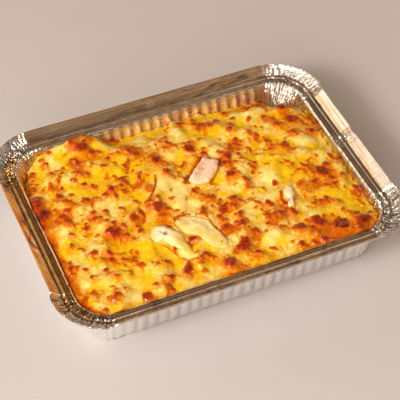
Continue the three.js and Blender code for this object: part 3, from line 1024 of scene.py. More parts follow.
    def _fat_reflection_and_sheen_tints(self, out: Array, z: Array, at: Stations) -> tuple[Array, Array]:
        """Golden where fat has baked on the foil and where it is a painted reflection of the food, and pale
        where cheese has dried on the wall and where it is painted sheen.
        """
        sides = (-at.normal_x, at.normal_x, at.normal_y)
        left, right, back = (smoothstep(side, 0.85, 1.0) for side in sides)
        near_corner = self._near_corner(at)
        back_right = near_corner * (at.normal_x > 0.05) * (at.normal_y > 0.05)
        back_left = near_corner * (at.normal_x < -0.05) * (at.normal_y > 0.05)
        on_wall = (out < 0.0) * (z < self.stained_up_to)
        streaks = smoothstep(layered_noise(at.run / 45.0, out / 1.7, 1.0, 3, 57), -0.3, 0.4)
        streaked = smoothstep(gradient_noise(at.run / 1.6, z / 30.0, 58), -0.1, 0.4)
        # Golden on the flanges, ledges and wall: partly baked fat, partly a painted reflection of the golden
        # food.
        flange = left * (0.55 + 0.35 * streaks) + 0.7 * right * streaks * (out < 12.5) + 0.65 * back * streaks
        fat_and_reflection_tint = smoothstep(out, 7.6, 8.4) * flange
        round_left = smoothstep(-at.normal_x, 0.3, 0.9)
        fat_and_reflection_tint = fat_and_reflection_tint + (out > 0.6) * (out < 7.8) * np.maximum(0.9 * round_left, 0.2 + 0.2 * self._front(at))
        fat_and_reflection_tint = fat_and_reflection_tint + on_wall * (0.8 - 0.6 * np.maximum(back_right, right) - 0.3 * back)
        far = smoothstep(at.x, -90.0, 60.0)
        # Pale on the rib crests and in streaks on the back corners' walls: partly dried cheese, partly
        # painted sheen.
        crest = 1.0 - 0.8 * smoothstep(self.wall.groove(at), 0.45, 0.95)
        cheese_and_sheen_glaze = on_wall * back * crest * (0.85 + 0.15 * far) * (1.0 - near_corner)
        cheese_and_sheen_glaze = cheese_and_sheen_glaze + on_wall * streaked * (0.45 * back_right + 0.4 * back_left)
        return np.clip(fat_and_reflection_tint, 0.0, 1.0), np.clip(cheese_and_sheen_glaze, 0.0, 1.0)

    @staticmethod
    def _close(upper: Array, lower: Array) -> tuple[Array, list]:
        """Joins the two faces of the sheet at the hem and closes the floor."""
        rows, columns = upper.shape[:2]
        rows_under = lower.shape[0]
        first_under = rows * columns
        hub_up = first_under + rows_under * columns
        hubs = [[0, 0, upper[0, 0, 2]], [0, 0, lower[0, 0, 2]]]
        vertices = np.concatenate([upper.reshape(-1, 3), lower.reshape(-1, 3), hubs])
        faces = grid_faces(rows, columns, closed=True).tolist()
        faces += [face[::-1] for face in grid_faces(rows_under, columns, first_under, closed=True).tolist()]
        last, last_under = (rows - 1) * columns, first_under + (rows_under - 1) * columns
        for i in range(columns):
            beside = (i + 1) % columns
            faces.append([last + i, last + beside, last_under + beside, last_under + i])
            faces.append([hub_up, i, beside])
            faces.append([hub_up + 1, first_under + beside, first_under + i])
        return vertices, faces


def line_between(start: tuple, end: tuple, steps: int) -> list[Span]:
    """Points along a straight line, without its first."""
    shares = np.linspace(0.0, 1.0, steps + 1)[1:]
    return [(start[0] + (end[0] - start[0]) * s, start[1] + (end[1] - start[1]) * s) for s in shares]


def curve_between(start: tuple, bend: tuple, end: tuple, steps: int) -> list[Span]:
    """Points along a quadratic bend, without its first."""
    points = []
    for s in np.linspace(0.0, 1.0, steps + 1)[1:]:
        weights = ((1 - s) ** 2, 2 * s * (1 - s), s**2)
        points.append(tuple(sum(w * p[k] for w, p in zip(weights, (start, bend, end))) for k in (0, 1)))
    return points


# --- Cheese crust -------------------------------------------------------------------------------------


@dataclass(frozen=True)
class Lump:
    """A rounded bar of food under the cheese, turned from +X in degrees."""

    x: float
    y: float
    turn: float
    half: float
    width: float
    rise: float
    POWER = 1.2

    def height(self, x: Array, y: Array) -> Array:
        """How high the lump lifts the cheese at each point."""
        along, across = along_and_across(x - self.x, y - self.y, math.radians(self.turn))
        distance = np.hypot(np.maximum(np.abs(along) - self.half, 0.0), across) / self.width
        return self.rise * np.clip(1.0 - distance**2, 0.0, None) ** self.POWER


@dataclass(frozen=True)
class Swell(SoftSpot):
    """A broad rise or dip of the filling."""

    x: float
    y: float
    rise: float
    reach: float


@dataclass(frozen=True)
class Blister:
    """A browned bubble in the cheese, more or less burnt, with its own height."""

    x: float
    y: float
    radius: float
    burn: float
    rise: float = 0.9


@dataclass(frozen=True)
class Seam:
    """A crack along a bent line, where the cheese has sunk beside a piece; its burn is partly browning and
    partly painted shade in the crack.
    """

    points: tuple[Span, ...]
    width: float
    burn: float
    depth: float = 0.9

    def nearness(self, x: Array, y: Array) -> Array:
        """1 on the line, falling softly to 0 beside it."""
        nearest = np.full(x.shape, 99.0)
        for (start_x, start_y), (end_x, end_y) in zip(self.points, self.points[1:]):
            run_x, run_y, from_x, from_y = end_x - start_x, end_y - start_y, x - start_x, y - start_y
            share = np.clip((from_x * run_x + from_y * run_y) / (run_x**2 + run_y**2), 0.0, 1.0)
            nearest = np.minimum(nearest, np.hypot(from_x - share * run_x, from_y - share * run_y))
        return bell(nearest, 0.0, self.width)


@dataclass(frozen=True)
class Patch(SoftSpot):
    """A soft patch where the cheese is creamier (below 0) or yellower (above 0)."""

    x: float
    y: float
    reach: float
    amount: float


# These tables are listed one row for each thing. Here: x, y, turn, half length, width, rise.
CLEAR_LUMPS = tuple(
    Lump(*row)
    for row in (
        (33, 26, -62, 17, 11, 4.4), (-24, 11, 47, 15, 9, 3.6), (47, 50, -38, 13, 9, 3.4),
        (74, 62, 20, 5, 8, 4.6), (-2, 44, 15, 14, 10, 3.2), (68, 4, 52, 14, 9, 3.3),
    )
)

# x, y, rise and reach.
SWELLS = tuple(
    Swell(*row)
    for row in (
        (116, 84, -11, 20), (-64, 74, 4.6, 9), (-95, 20, 1.6, 30), (-40, 25, 1.4, 34), (30, -50, 1.3, 30),
        (103, 58, 4.6, 7), (-117, 66, -9.0, 15),
    )
)

# x, y, radius and burn.
BROAD_BLISTERS = tuple(
    Blister(*row, rise=1.1)
    for row in (
        (-112, 33, 8, 0.70), (-111, 18, 7, 0.85), (-63, 71, 7, 0.80), (97, 58, 7, 0.90), (99, 42, 7, 0.85),
        (83, -73, 8.5, 0.95), (69, -64, 7, 0.80), (100, -75, 6, 0.85), (53, -64, 6.5, 0.75),
        (10, -64, 7.5, 0.80), (-6, -75, 6.5, 0.75), (-70, -80, 6, 0.75), (12, 40, 6, 0.85),
        (-16, 38, 5.5, 0.80), (-33, -7, 6, 0.75), (-70, -18, 6, 0.80), (95, -18, 7, 0.85),
    )
)

# x, y, radius and burn, then the rise where it isn't the usual one.
SMALL_BLISTERS = tuple(
    Blister(*row)
    for row in (
        (-68, 80, 5, 0.6), (-94, 77, 3.5, 0.45), (-57, 65, 4.5, 0.7), (-92, 57, 3, 0.75),
        (-82, 60, 3, 0.45), (-75, 65, 3, 0.55), (-67, 58, 3.5, 0.5), (-75, 50, 3, 0.75), (-80, 42, 4, 0.7),
        (-74, 37, 3.5, 0.75), (-68, 32, 4, 0.7), (-54, 48, 4.5, 0.7), (-46, 49, 3, 0.4),
        (-37, 45, 3.5, 0.5), (-48, 31, 4, 0.75), (-94, 33, 5, 0.75), (-92, 24, 5, 0.65), (-78, 22, 4, 0.7),
        (-71, 20, 4, 0.7), (-64, 19, 3.5, 0.75), (-57, 16, 3.5, 0.6), (-100, 13, 3.5, 0.65),
        (-98, 6, 4, 0.6), (-57, 4, 3.5, 0.65), (-87, -5, 4.5, 0.7), (-99, -6, 3, 0.7), (-103, -16, 3, 0.7),
        (-73, -13, 4.5, 0.8), (-53, -9, 5, 0.7), (-46, -6, 4, 0.6), (-62, -14, 3, 0.45),
        (-98, -23, 3.5, 0.7), (-91, -29, 4.5, 0.7), (-110, -35, 3, 0.8), (-101, -40, 3, 0.8),
        (-80, -32, 3, 0.7), (-59, -27, 3.5, 0.55), (-53, -22, 3.5, 0.75), (-72, -41, 3, 0.75),
        (-88, -46, 3.5, 0.8), (-99, -49, 3.5, 0.8), (-65, -51, 4, 0.45), (-46, -55, 3.5, 0.65),
        (-48, -69, 4.5, 0.7), (-35, -67, 5.5, 0.8), (-103, -63, 4, 0.5), (-92, -71, 3.5, 0.5),
        (-37, 1, 3.5, 0.7), (-29, 2, 3, 0.6), (-20, -1, 3, 0.55), (-6, 50, 3, 0.45), (0, 61, 3, 0.5),
        (-27, 51, 5, 0.75), (-32, 57, 3.5, 0.55), (-14, 24, 4, 0.75), (19, 76, 4.5, 0.8), (28, 73, 4, 0.75),
        (36, 60, 5, 0.7), (48, 48, 4.5, 0.65), (52, 54, 4, 0.6), (48, 37, 4, 0.55), (45, 25, 3, 0.55),
        (30, 4, 5, 0.85), (38, -6, 4.5, 0.6), (5, -11, 3.5, 0.6), (22, -18, 5.5, 0.75), (10, -26, 6, 0.75),
        (-5, -24, 3.5, 0.5), (6, -41, 4.5, 0.75), (17, -43, 3, 0.65), (-17, -60, 4.5, 0.75),
        (16, -73, 4.5, 0.75), (24, -52, 3.5, 0.6), (28, -74, 4, 0.55), (65, 35, 3.5, 0.55),
        (68, 54, 4, 0.6), (80, 53, 4, 0.7), (79, 15, 5, 0.7), (100, 65, 5, 0.85), (85, 40, 4.5, 0.6),
        (109, 27, 4.5, 0.5), (85, -8, 4.5, 0.7), (101, -12, 4.5, 0.75), (73, -24, 5, 0.5),
        (84, -26, 4.5, 0.65), (44, -34, 5, 0.75), (46, -46, 4, 0.85), (57, -48, 4, 0.7),
        (98, -33, 3.5, 0.8), (85, -44, 3.5, 0.7), (91, -50, 3, 0.7), (107, -26, 4, 0.55),
        (109, -4, 4, 0.65), (62, -67, 4, 0.7), (98, -66, 4, 0.7), (65, -81, 4, 0.7), (48, -78, 4, 0.7),
        (-31.5, 13.0, 7.5, 0.32, 0.3), (-20.5, -42.5, 4.6, 0.95), (-26.5, -44.5, 2.6, 0.6),
        (55.0, -37.5, 3.2, 1.0),
    )
)

# Where the cheese stays pale: x, y and reach.
CALM = ((-18.0, -37.0, 18.0), (12.0, 14.0, 15.0), (-28.0, 14.0, 12.0), (61.0, -32.0, 7.0))

# Cracks beside the chicken; the wide one along the chunk's back-left edge is mostly a painted shadow gap.
SEAMS = (
    Seam(
        ((-21.7, 25.5), (-24.0, 19.5), (-27.0, 14.0), (-30.0, 9.5), (-33.5, 5.5), (-39.2, 1.3)),
        width=0.8,
        burn=0.62,
        depth=1.1,
    ),
    Seam(((-43.0, -38.2), (-39.3, -45.0), (-35.7, -52.6), (-31.0, -60.0)), 0.55, 0.5, 0.3),
    Seam(((-25.0, -20.0), (-19.5, -18.4), (-14.0, -19.6)), 1.1, 0.6, 0.3),
    Seam(((-9.5, -21.4), (-5.0, -24.6), (-2.0, -31.0), (-0.6, -39.5), (1.8, -47.5)), 0.6, 0.4, 0.5),
    Seam(((-3.4, 10.2), (-0.2, 15.0), (6.0, 20.6), (13.2, 26.6), (17.5, 30.0)), 2.0, 0.8, 1.6),
    Seam(((27.5, 16.0), (27.8, 20.5), (22.5, 26.5)), 1.6, 0.6, 0.5),
    Seam(((56.0, -26.0), (54.6, -31.0), (55.6, -35.0)), 1.2, 0.6, 0.5),
)

# x, y, reach and amount.
PATCHES = tuple(
    Patch(*row)
    for row in (
        (-72, 6, 13, -0.55), (-10, -11, 13, -0.6), (30, -33, 12, -0.55), (-106, 44, 8, -0.4),
        (-104, -50, 8, -0.4), (97, 22, 10, -0.5), (50, -9, 10, -0.5), (44, -55, 9, -0.5),
        (31, 27, 11, -0.6), (-8, 56, 10, -0.35), (-76, -72, 9, -0.35), (-58, 36, 12, 0.5),
        (73, -2, 13, 0.6), (-58, -43, 12, 0.6), (-45, 64, 9, 0.5), (28, 58, 10, 0.45), (97, -52, 11, 0.5),
        (-30, 30, 9, 0.4), (-16, 14, 8, -0.7), (-2, -30, 8, -0.4), (4, -52, 8, -0.8),
    )
)


@dataclass(frozen=True)
class CheeseCrust:
    """The baked block: pasta under a blistered cheese crust that meets the tray's wall."""

    opening: Opening
    wall: TrayWall
    finish: CheeseFinish
    cells: tuple[int, int] = (356, 258)
    edge_out: float = -1.6
    side_layers: int = 9
    side_inset: float = 1.3
    blend_in: float = 8.0
    touch: float = 0.05
    clearance: float = 0.1
    bottom_out: float = -10.2
    bottom_height: float = 1.1
    foot_height: float = 3.1
    side_drop: float = 2.5
    under_value: float = 0.4
    mean_level: float = -3.9
    lump_seed: int = 41
    lump_grid: tuple[int, int] = (10, 7)
    lump_jitter: float = 0.36
    lump_merge: float = 2.6
    blister_seed: int = 97
    blister_count: int = 190
    blister_rise: float = 1.1
    small_share: float = 0.86
    scatter_seed: int = 131
    scatter_groups: int = 62
    melt: float = 0.45
    shape_seed: int = 211
    dome_lift: float = 1.7
    nest: tuple["ChickenPiece", ...] = ()

    def build(self, effects: EffectLibrary) -> Piece:
        """Makes the crust's piece with its finish."""
        x, y = self._meet_wall(*self._grid())
        small = [replace(spot, radius=self.small_share * spot.radius) for spot in SMALL_BLISTERS]
        spots = self.solid_blisters() + small + self.scattered()
        domes, pale = self._blistered(x, y, spots)
        brown = self._browning(x, y, pale)
        z = self._surface(x, y, domes, brown)
        values = {"brown": brown, "oil": self._oil(x, y, z)}
        vertices, faces, values = self._close(*self._kept_inside(x, y, z), z, values)
        return mesh_piece("CheeseCrust", vertices, faces, values, self.finish.make(effects))

    def _grid(self) -> tuple[Array, Array]:
        """A grid over the block, pulled in at the rounded corners."""
        half_x, half_y = self.opening.half_length + self.edge_out, self.opening.half_width + self.edge_out
        radius = self.opening.corner + self.edge_out
        columns, rows = (np.linspace(-1.0, 1.0, cells + 1) for cells in self.cells)
        x, y = np.meshgrid(half_x * columns, half_y * rows)
        past_x, past_y = np.abs(x) - half_x + radius, np.abs(y) - half_y + radius
        in_corner = (past_x > 0) & (past_y > 0)
        pull = np.maximum(past_x, past_y) / np.maximum(np.hypot(past_x, past_y), 1e-9)
        round_x = np.sign(x) * (half_x - radius + past_x * pull)
        round_y = np.sign(y) * (half_y - radius + past_y * pull)
        return np.where(in_corner, round_x, x), np.where(in_corner, round_y, y)

    def _window(self, x: float, y: float, reach: float) -> tuple[slice, slice]:
        """The rows and columns of the grid that may lie within reach of a place."""
        halves = (self.opening.half_length, self.opening.half_width)
        spans = []
        for value, half, cells in reversed(list(zip((x, y), halves, self.cells))):
            first = int(((value - reach) / half + 1.0) * cells / 2.0)
            last = int(((value + reach) / half + 1.0) * cells / 2.0) + 2
            spans.append(slice(max(first, 0), max(min(last, cells + 1), 0)))
        return spans[0], spans[1]

    def _meet_wall(self, x: Array, y: Array) -> tuple[Array, Array]:
        """Draws the outer cells in or out so that the edge follows the fluted wall."""
        place = self.opening.locate(x, y)
        near = np.clip(1.0 - (self.edge_out - place.out) / self.blend_in, 0.0, 1.0) ** 2
        moved_x, moved_y = x, y
        for _ in range(2):
            reach = self.wall.reach_at(self.height(moved_x, moved_y), place) + self.touch
            shift = near * (reach - self.edge_out)
            moved_x, moved_y = x + place.normal_x * shift, y + place.normal_y * shift
        return moved_x, moved_y

    def _kept_inside(self, x: Array, y: Array, z: Array) -> tuple[Array, Array]:
        """Draws in whatever would pass through the wall once the crust has its final height."""
        place = self.opening.locate(x, y)
        excess = np.clip(place.out - self.wall.reach_at(z, place) + self.clearance, 0.0, None)
        return x - place.normal_x * excess, y - place.normal_y * excess

    def lumps(self) -> list[Lump]:
        """The clear lumps and the jittered field of others."""
        draw = SeededDraws(self.lump_seed)
        (columns, rows), jitter = self.lump_grid, self.lump_jitter
        found = list(CLEAR_LUMPS)
        for row in range(rows):
            for column in range(columns):
                across = 2.0 * (column + 0.5 + jitter * (2.0 * draw() - 1.0))
                along = 2.0 * (row + 0.5 + jitter * (2.0 * draw() - 1.0))
                x = self.opening.half_length * (across / columns - 1.0)
                y = self.opening.half_width * (along / rows - 1.0)
                turn, half = 180.0 * draw(), draw.between((6.0, 13.0))
                found.append(Lump(x, y, turn, half, draw.between((7.0, 10.0)), draw.between((1.4, 3.4))))
        return found

    def _anywhere(self, draw: SeededDraws, margin: float) -> Span:
        """A random place on the crust, at least this far inside the opening's rectangle."""
        x = (self.opening.half_length - margin) * (2.0 * draw() - 1.0)
        return x, (self.opening.half_width - margin) * (2.0 * draw() - 1.0)

    def solid_blisters(self) -> list[Blister]:
        """The broad browned patches and the seeded scatter that the solid has too."""
        draw, burn = SeededDraws(self.blister_seed), SeededDraws(self.blister_seed + 1)
        found = []
        for _ in range(self.blister_count):
            x, y = self._anywhere(draw, 4.0)
            radius = draw.between((2.8, 4.8))
            found.append(Blister(x, y, 0.74 * radius, burn.between((0.25, 0.7)), 0.8 * self.blister_rise))
        return list(BROAD_BLISTERS) + [spot for spot in found if not self._calm(spot)]

    def scattered(self) -> list[Blister]:
        """Small bubbles in loose strings, as they form where the cheese dries first."""
        draw = SeededDraws(self.scatter_seed)
        found = []
        for _ in range(self.scatter_groups):
            x, y = self._anywhere(draw, 6.0)
            heading = 2.0 * math.pi * draw()
            strength = draw.between((0.35, 0.75))
            for _ in range(int(draw.between((3.0, 7.0)))):
                heading += draw.between((-1.1, 1.1))
                step = draw.between((3.4, 6.5))
                x, y = x + step * math.cos(heading), y + step * math.sin(heading)
                radius = draw.between((1.2, 2.8))
                found.append(Blister(x, y, radius, strength * draw.between((0.7, 1.15)), 0.3 * radius))
        limit_x, limit_y = self.opening.half_length - 3.0, self.opening.half_width - 3.0
        inside = [spot for spot in found if abs(spot.x) < limit_x and abs(spot.y) < limit_y]
        return [spot for spot in inside if not self._calm(spot)]

    @staticmethod
    def _calm(spot: Blister) -> bool:
        """Whether a blister would lie where the cheese has stayed pale."""
        return any(math.hypot(spot.x - x, spot.y - y) < reach for x, y, reach in CALM)

    def height(self, x: Array, y: Array) -> Array:
        """The main form of the crust: the solid's, with its lumps bent and partly melted over."""
        back = smoothstep(y, 56.0, 84.0) * smoothstep(x, -52.0, -36.0)
        level = self.mean_level - 8.0 * back - 3.0 * smoothstep(x, 92.0, 116.0)
        level = level + sum(swell.rise * swell.nearness(x, y) for swell in SWELLS)
        bent_x = x + 2.4 * layered_noise(x, y, 17.0, 2, 151)
        bent_y = y + 2.4 * layered_noise(x, y, 17.0, 2, 157)
        total = sum(lump.height(bent_x, bent_y) ** self.lump_merge for lump in self.lumps())
        raised = total ** (1.0 / self.lump_merge)
        melted = self.melt * np.clip(blurred(raised, 8) - raised, 0.0, None)
        return self.wall.ledge_height + level + raised + melted

    def _blistered(self, x: Array, y: Array, spots: list[Blister]) -> tuple[Array, Array]:
        """How high the bubbles stand and how pale the cheese stays, each bubble bent at random, with painted
        shade on its back and painted light on its front.
        """
        bent_x = x + 1.9 * layered_noise(x, y, 6.0, 2, 61) + 0.9 * layered_noise(x, y, 2.6, 2, 63)
        bent_y = y + 1.9 * layered_noise(x, y, 6.0, 2, 67) + 0.9 * layered_noise(x, y, 2.6, 2, 69)
        draw = SeededDraws(self.shape_seed)
        domes, pale = np.zeros_like(x), np.ones_like(x)
        for spot in spots:
            turn, drawn_out = math.pi * draw(), draw.between((1.0, 1.9)) ** 0.5
            near = self._window(spot.x, spot.y, 3.0 * spot.radius + 8.0)
            from_x, from_y = bent_x[near] - spot.x, bent_y[near] - spot.y
            along, across = along_and_across(from_x, from_y, turn)
            distance = np.hypot(along / drawn_out, across * drawn_out) / spot.radius
            dome = self.dome_lift * spot.rise * np.clip(1.0 - distance**2, 0.0, None) ** 0.65
            domes[near] = np.maximum(domes[near], dome)
            # The burnt core leans back and the orange halo leans forward: painted shade on each blister's
            # back, painted light on its front.
            behind_shaded_side = np.hypot(from_x, from_y - 0.5 * spot.radius) / spot.radius
            ahead = np.hypot(from_x, from_y + 0.5 * spot.radius) / spot.radius
            core = spot.burn * (1.0 - smoothstep(0.6 * distance + 0.4 * behind_shaded_side, 0.45, 1.0))
            halo_lit_front = 0.31 * spot.burn * np.exp(-(ahead**2) / 2.1)
            pale[near] = pale[near] * (1.0 - np.maximum(core, halo_lit_front))
        return domes, pale

    def _pillows(self, x: Array, y: Array) -> Array:
        """Melted pillows of cheese, 1 on top and 0 in the seams between them."""
        return bubbles(x + self.drift(x, y, 9.0, 79), y + self.drift(x, y, 9.0, 80), 11.0, 81)

    def _grain(self, x: Array, y: Array, pitch: float) -> Array:
        """The fine bubbles of crisp cheese."""
        return bubbles(x + self.drift(x, y, 3.0, 86), y, pitch, 89)

    def _surface(self, x: Array, y: Array, domes: Array, brown: Array) -> Array:
        """The crust's height with its bubbles, melted pillows and shreds."""
        strings = 0.5 - np.abs(layered_noise(0.8 * x + 0.5 * y, 1.4 * y - 0.9 * x, 11.0, 2, 83))
        crisp = 0.8 * smoothstep(brown, 0.35, 0.8) * self._grain(x, y, 2.3)
        cracks = sum(seam.depth * seam.nearness(x, y) for seam in SEAMS)
        z = self.height(x, y) + domes + 0.9 * self._pillows(x, y) + 1.1 * strings + crisp - cracks - 1.2
        for chicken in self.nest:
            share, lap = chicken.share(x, y), chicken.lap_at(x, y)
            ragged = share - (0.02 + 0.35 * lap) * self.drift(x, y, 8.0, 90)
            ragged = ragged - 0.03 * self.drift(x, y, 2.8, 92)
            cover = smoothstep(ragged, 0.96 - lap, 1.08 - lap)
            skirt = smoothstep(lap, 0.0, 0.05) * (1.0 - smoothstep(share, 0.95, 1.55))
            laid = z + skirt * np.clip(chicken.top_at(x, y) + 0.2 - z, 0.0, None)
            sunk = np.minimum(z, chicken.surface(x, y) - 2.2)
            z = np.where(share < 1.6, laid * cover + sunk * (1.0 - cover), z)
        return z

    @staticmethod
    def drift(x: Array, y: Array, wavelength: float, seed: int) -> Array:
        """Smooth noise from about -2 to 2, which bends or masks other patterns."""
        return 3.0 * layered_noise(x, y, wavelength, 2, seed)

    def _browning(self, x: Array, y: Array, pale: Array) -> Array:
        """How brown the crust is at each point, from 0 to 1, with painted shade along the cracks and round
        the chunk.
        """
        place = self.opening.locate(x, y)
        left = smoothstep(-x, 98.0, 112.0) * smoothstep(40.0 - y, 0.0, 14.0)
        rim = (0.4 + 0.5 * left) * np.exp(np.clip(place.out + 1.0, -30, 0) / (2.0 + 2.6 * left))
        rim = rim * (0.75 + 0.9 * layered_noise(x, y, 14.0, 3, 71))
        patches = 0.17 * smoothstep(layered_noise(x, y, 22.0, 3, 73), -0.1, 0.5)
        flecks = smoothstep(layered_noise(x, y, 2.6, 2, 74), 0.22, 0.6)
        fleck = flecks * (0.12 + 0.3 * smoothstep(patches, 0.02, 0.16))
        gaps = (1.0 - self._pillows(x, y)) ** 5
        gaps = 0.35 * gaps * smoothstep(layered_noise(x, y, 17.0, 2, 75), 0.05, 0.4)
        pale = pale * (1.0 - np.clip(rim, 0, 1)) * (1.0 - patches) * (1.0 - fleck) * (1.0 - gaps)
        # Painted shade in a thin ring round the chunk, where no cheese laps over its edge.
        for chicken in self.nest:
            edge = bell(chicken.share(x, y), 1.03, 0.06) * (chicken.lap < 0.1)
            pale = pale * (1.0 - 0.3 * edge * smoothstep(layered_noise(x, y, 9.0, 2, 77), -0.2, 0.4))
        broken = 0.6 + 0.6 * smoothstep(layered_noise(x, y, 5.0, 2, 78), -0.3, 0.3)
        # The seams' burn darkens the crust along each crack: partly browning, partly painted shade.
        for seam in SEAMS:
            pale = pale * (1.0 - np.clip(seam.burn * broken * seam.nearness(x, y), 0.0, 0.98))
        brown = 1.0 - pale
        grain = 0.75 + 0.35 * self._grain(x, y, 2.5)
        return np.clip(brown * (1.0 + smoothstep(brown, 0.2, 0.5) * (grain - 1.0)), 0.0, 1.0)

    def _oil(self, x: Array, y: Array, z: Array) -> Array:
        """How yellow and oily the crust is: most in the hollows."""
        hollow = blurred(z, 9) - blurred(z, 2)
        blotch = layered_noise(x + 3.0 * layered_noise(x, y, 9.0, 2, 99), y, 12.0, 2, 101)
        patches = sum(patch.amount * patch.nearness(x, y) for patch in PATCHES)
        return np.clip(0.61 + 0.25 * hollow + 1.1 * blotch + patches, 0.0, 1.0)

    def _close(
        self, x: Array, y: Array, z: Array, values: dict[str, Array]
    ) -> tuple[Array, list, dict[str, Array]]:
        """Adds the block's sides and bottom under the crust.

        Args:
            x: Across the grid.
            y: Along the grid.
            z: The crust's height.
            values: Named values over the grid.

        Returns:
            Vertices, faces and the values for each vertex.
        """
        rows, columns = x.shape
        index = np.arange(rows * columns).reshape(rows, columns)
        ring = np.concatenate([index[0, :-1], index[:-1, -1], index[-1, :0:-1], index[:0:-1, 0]])
        top = np.stack([x, y, z], axis=-1).reshape(-1, 3)
        edge = top[ring]
        place = self.opening.locate(edge[:, 0], edge[:, 1])
        count = len(ring)
        layers = []
        for share in np.linspace(1.0, 0.0, self.side_layers):
            height = self.foot_height + share * (edge[:, 2] - self.side_drop - self.foot_height)
            out = self.wall.out_at(height) + self.wall.roll_at(height, place) - self.side_inset
            layers.append(self._ring(edge, place, out, height))
        layers.append(self._ring(edge, place, self.bottom_out, self.bottom_height + 0.0 * edge[:, 2]))
        vertices = np.concatenate([top, *layers, [[0.0, 0.0, self.bottom_height]]])
        faces = grid_faces(rows, columns).tolist()
        first = len(top)
        faces += [face[::-1] for face in grid_faces(len(layers), count, first, closed=True).tolist()]
        last = first + (len(layers) - 1) * count
        for i in range(count):
            beside = (i + 1) % count
            faces.append([first + i, first + beside, ring[beside], ring[i]])
            faces.append([last + count, last + beside, last + i])
        under = np.full(len(vertices) - len(top), self.under_value)
        padded = {key: np.concatenate([grid.ravel(), under]) for key, grid in values.items()}
        return vertices, faces, padded

    @staticmethod
    def _ring(edge: Array, place: EdgePlace, out: Array | float, height: Array) -> Array:
        """The edge's points moved to this far out and this height."""
        shift = out - place.out
        x, y = edge[:, 0] + place.normal_x * shift, edge[:, 1] + place.normal_y * shift
        return np.column_stack([x, y, height])


# --- Chicken ------------------------------------------------------------------------------------------


@dataclass(frozen=True)
class Stain(SoftSpot):
    """A soft discoloured spot on a piece of chicken, with how far it is raised there; some paint shade in a
    dip.
    """

    kind: StainKind
    x: float
    y: float
    reach: float
    amount: float
    rise: float = 0.0


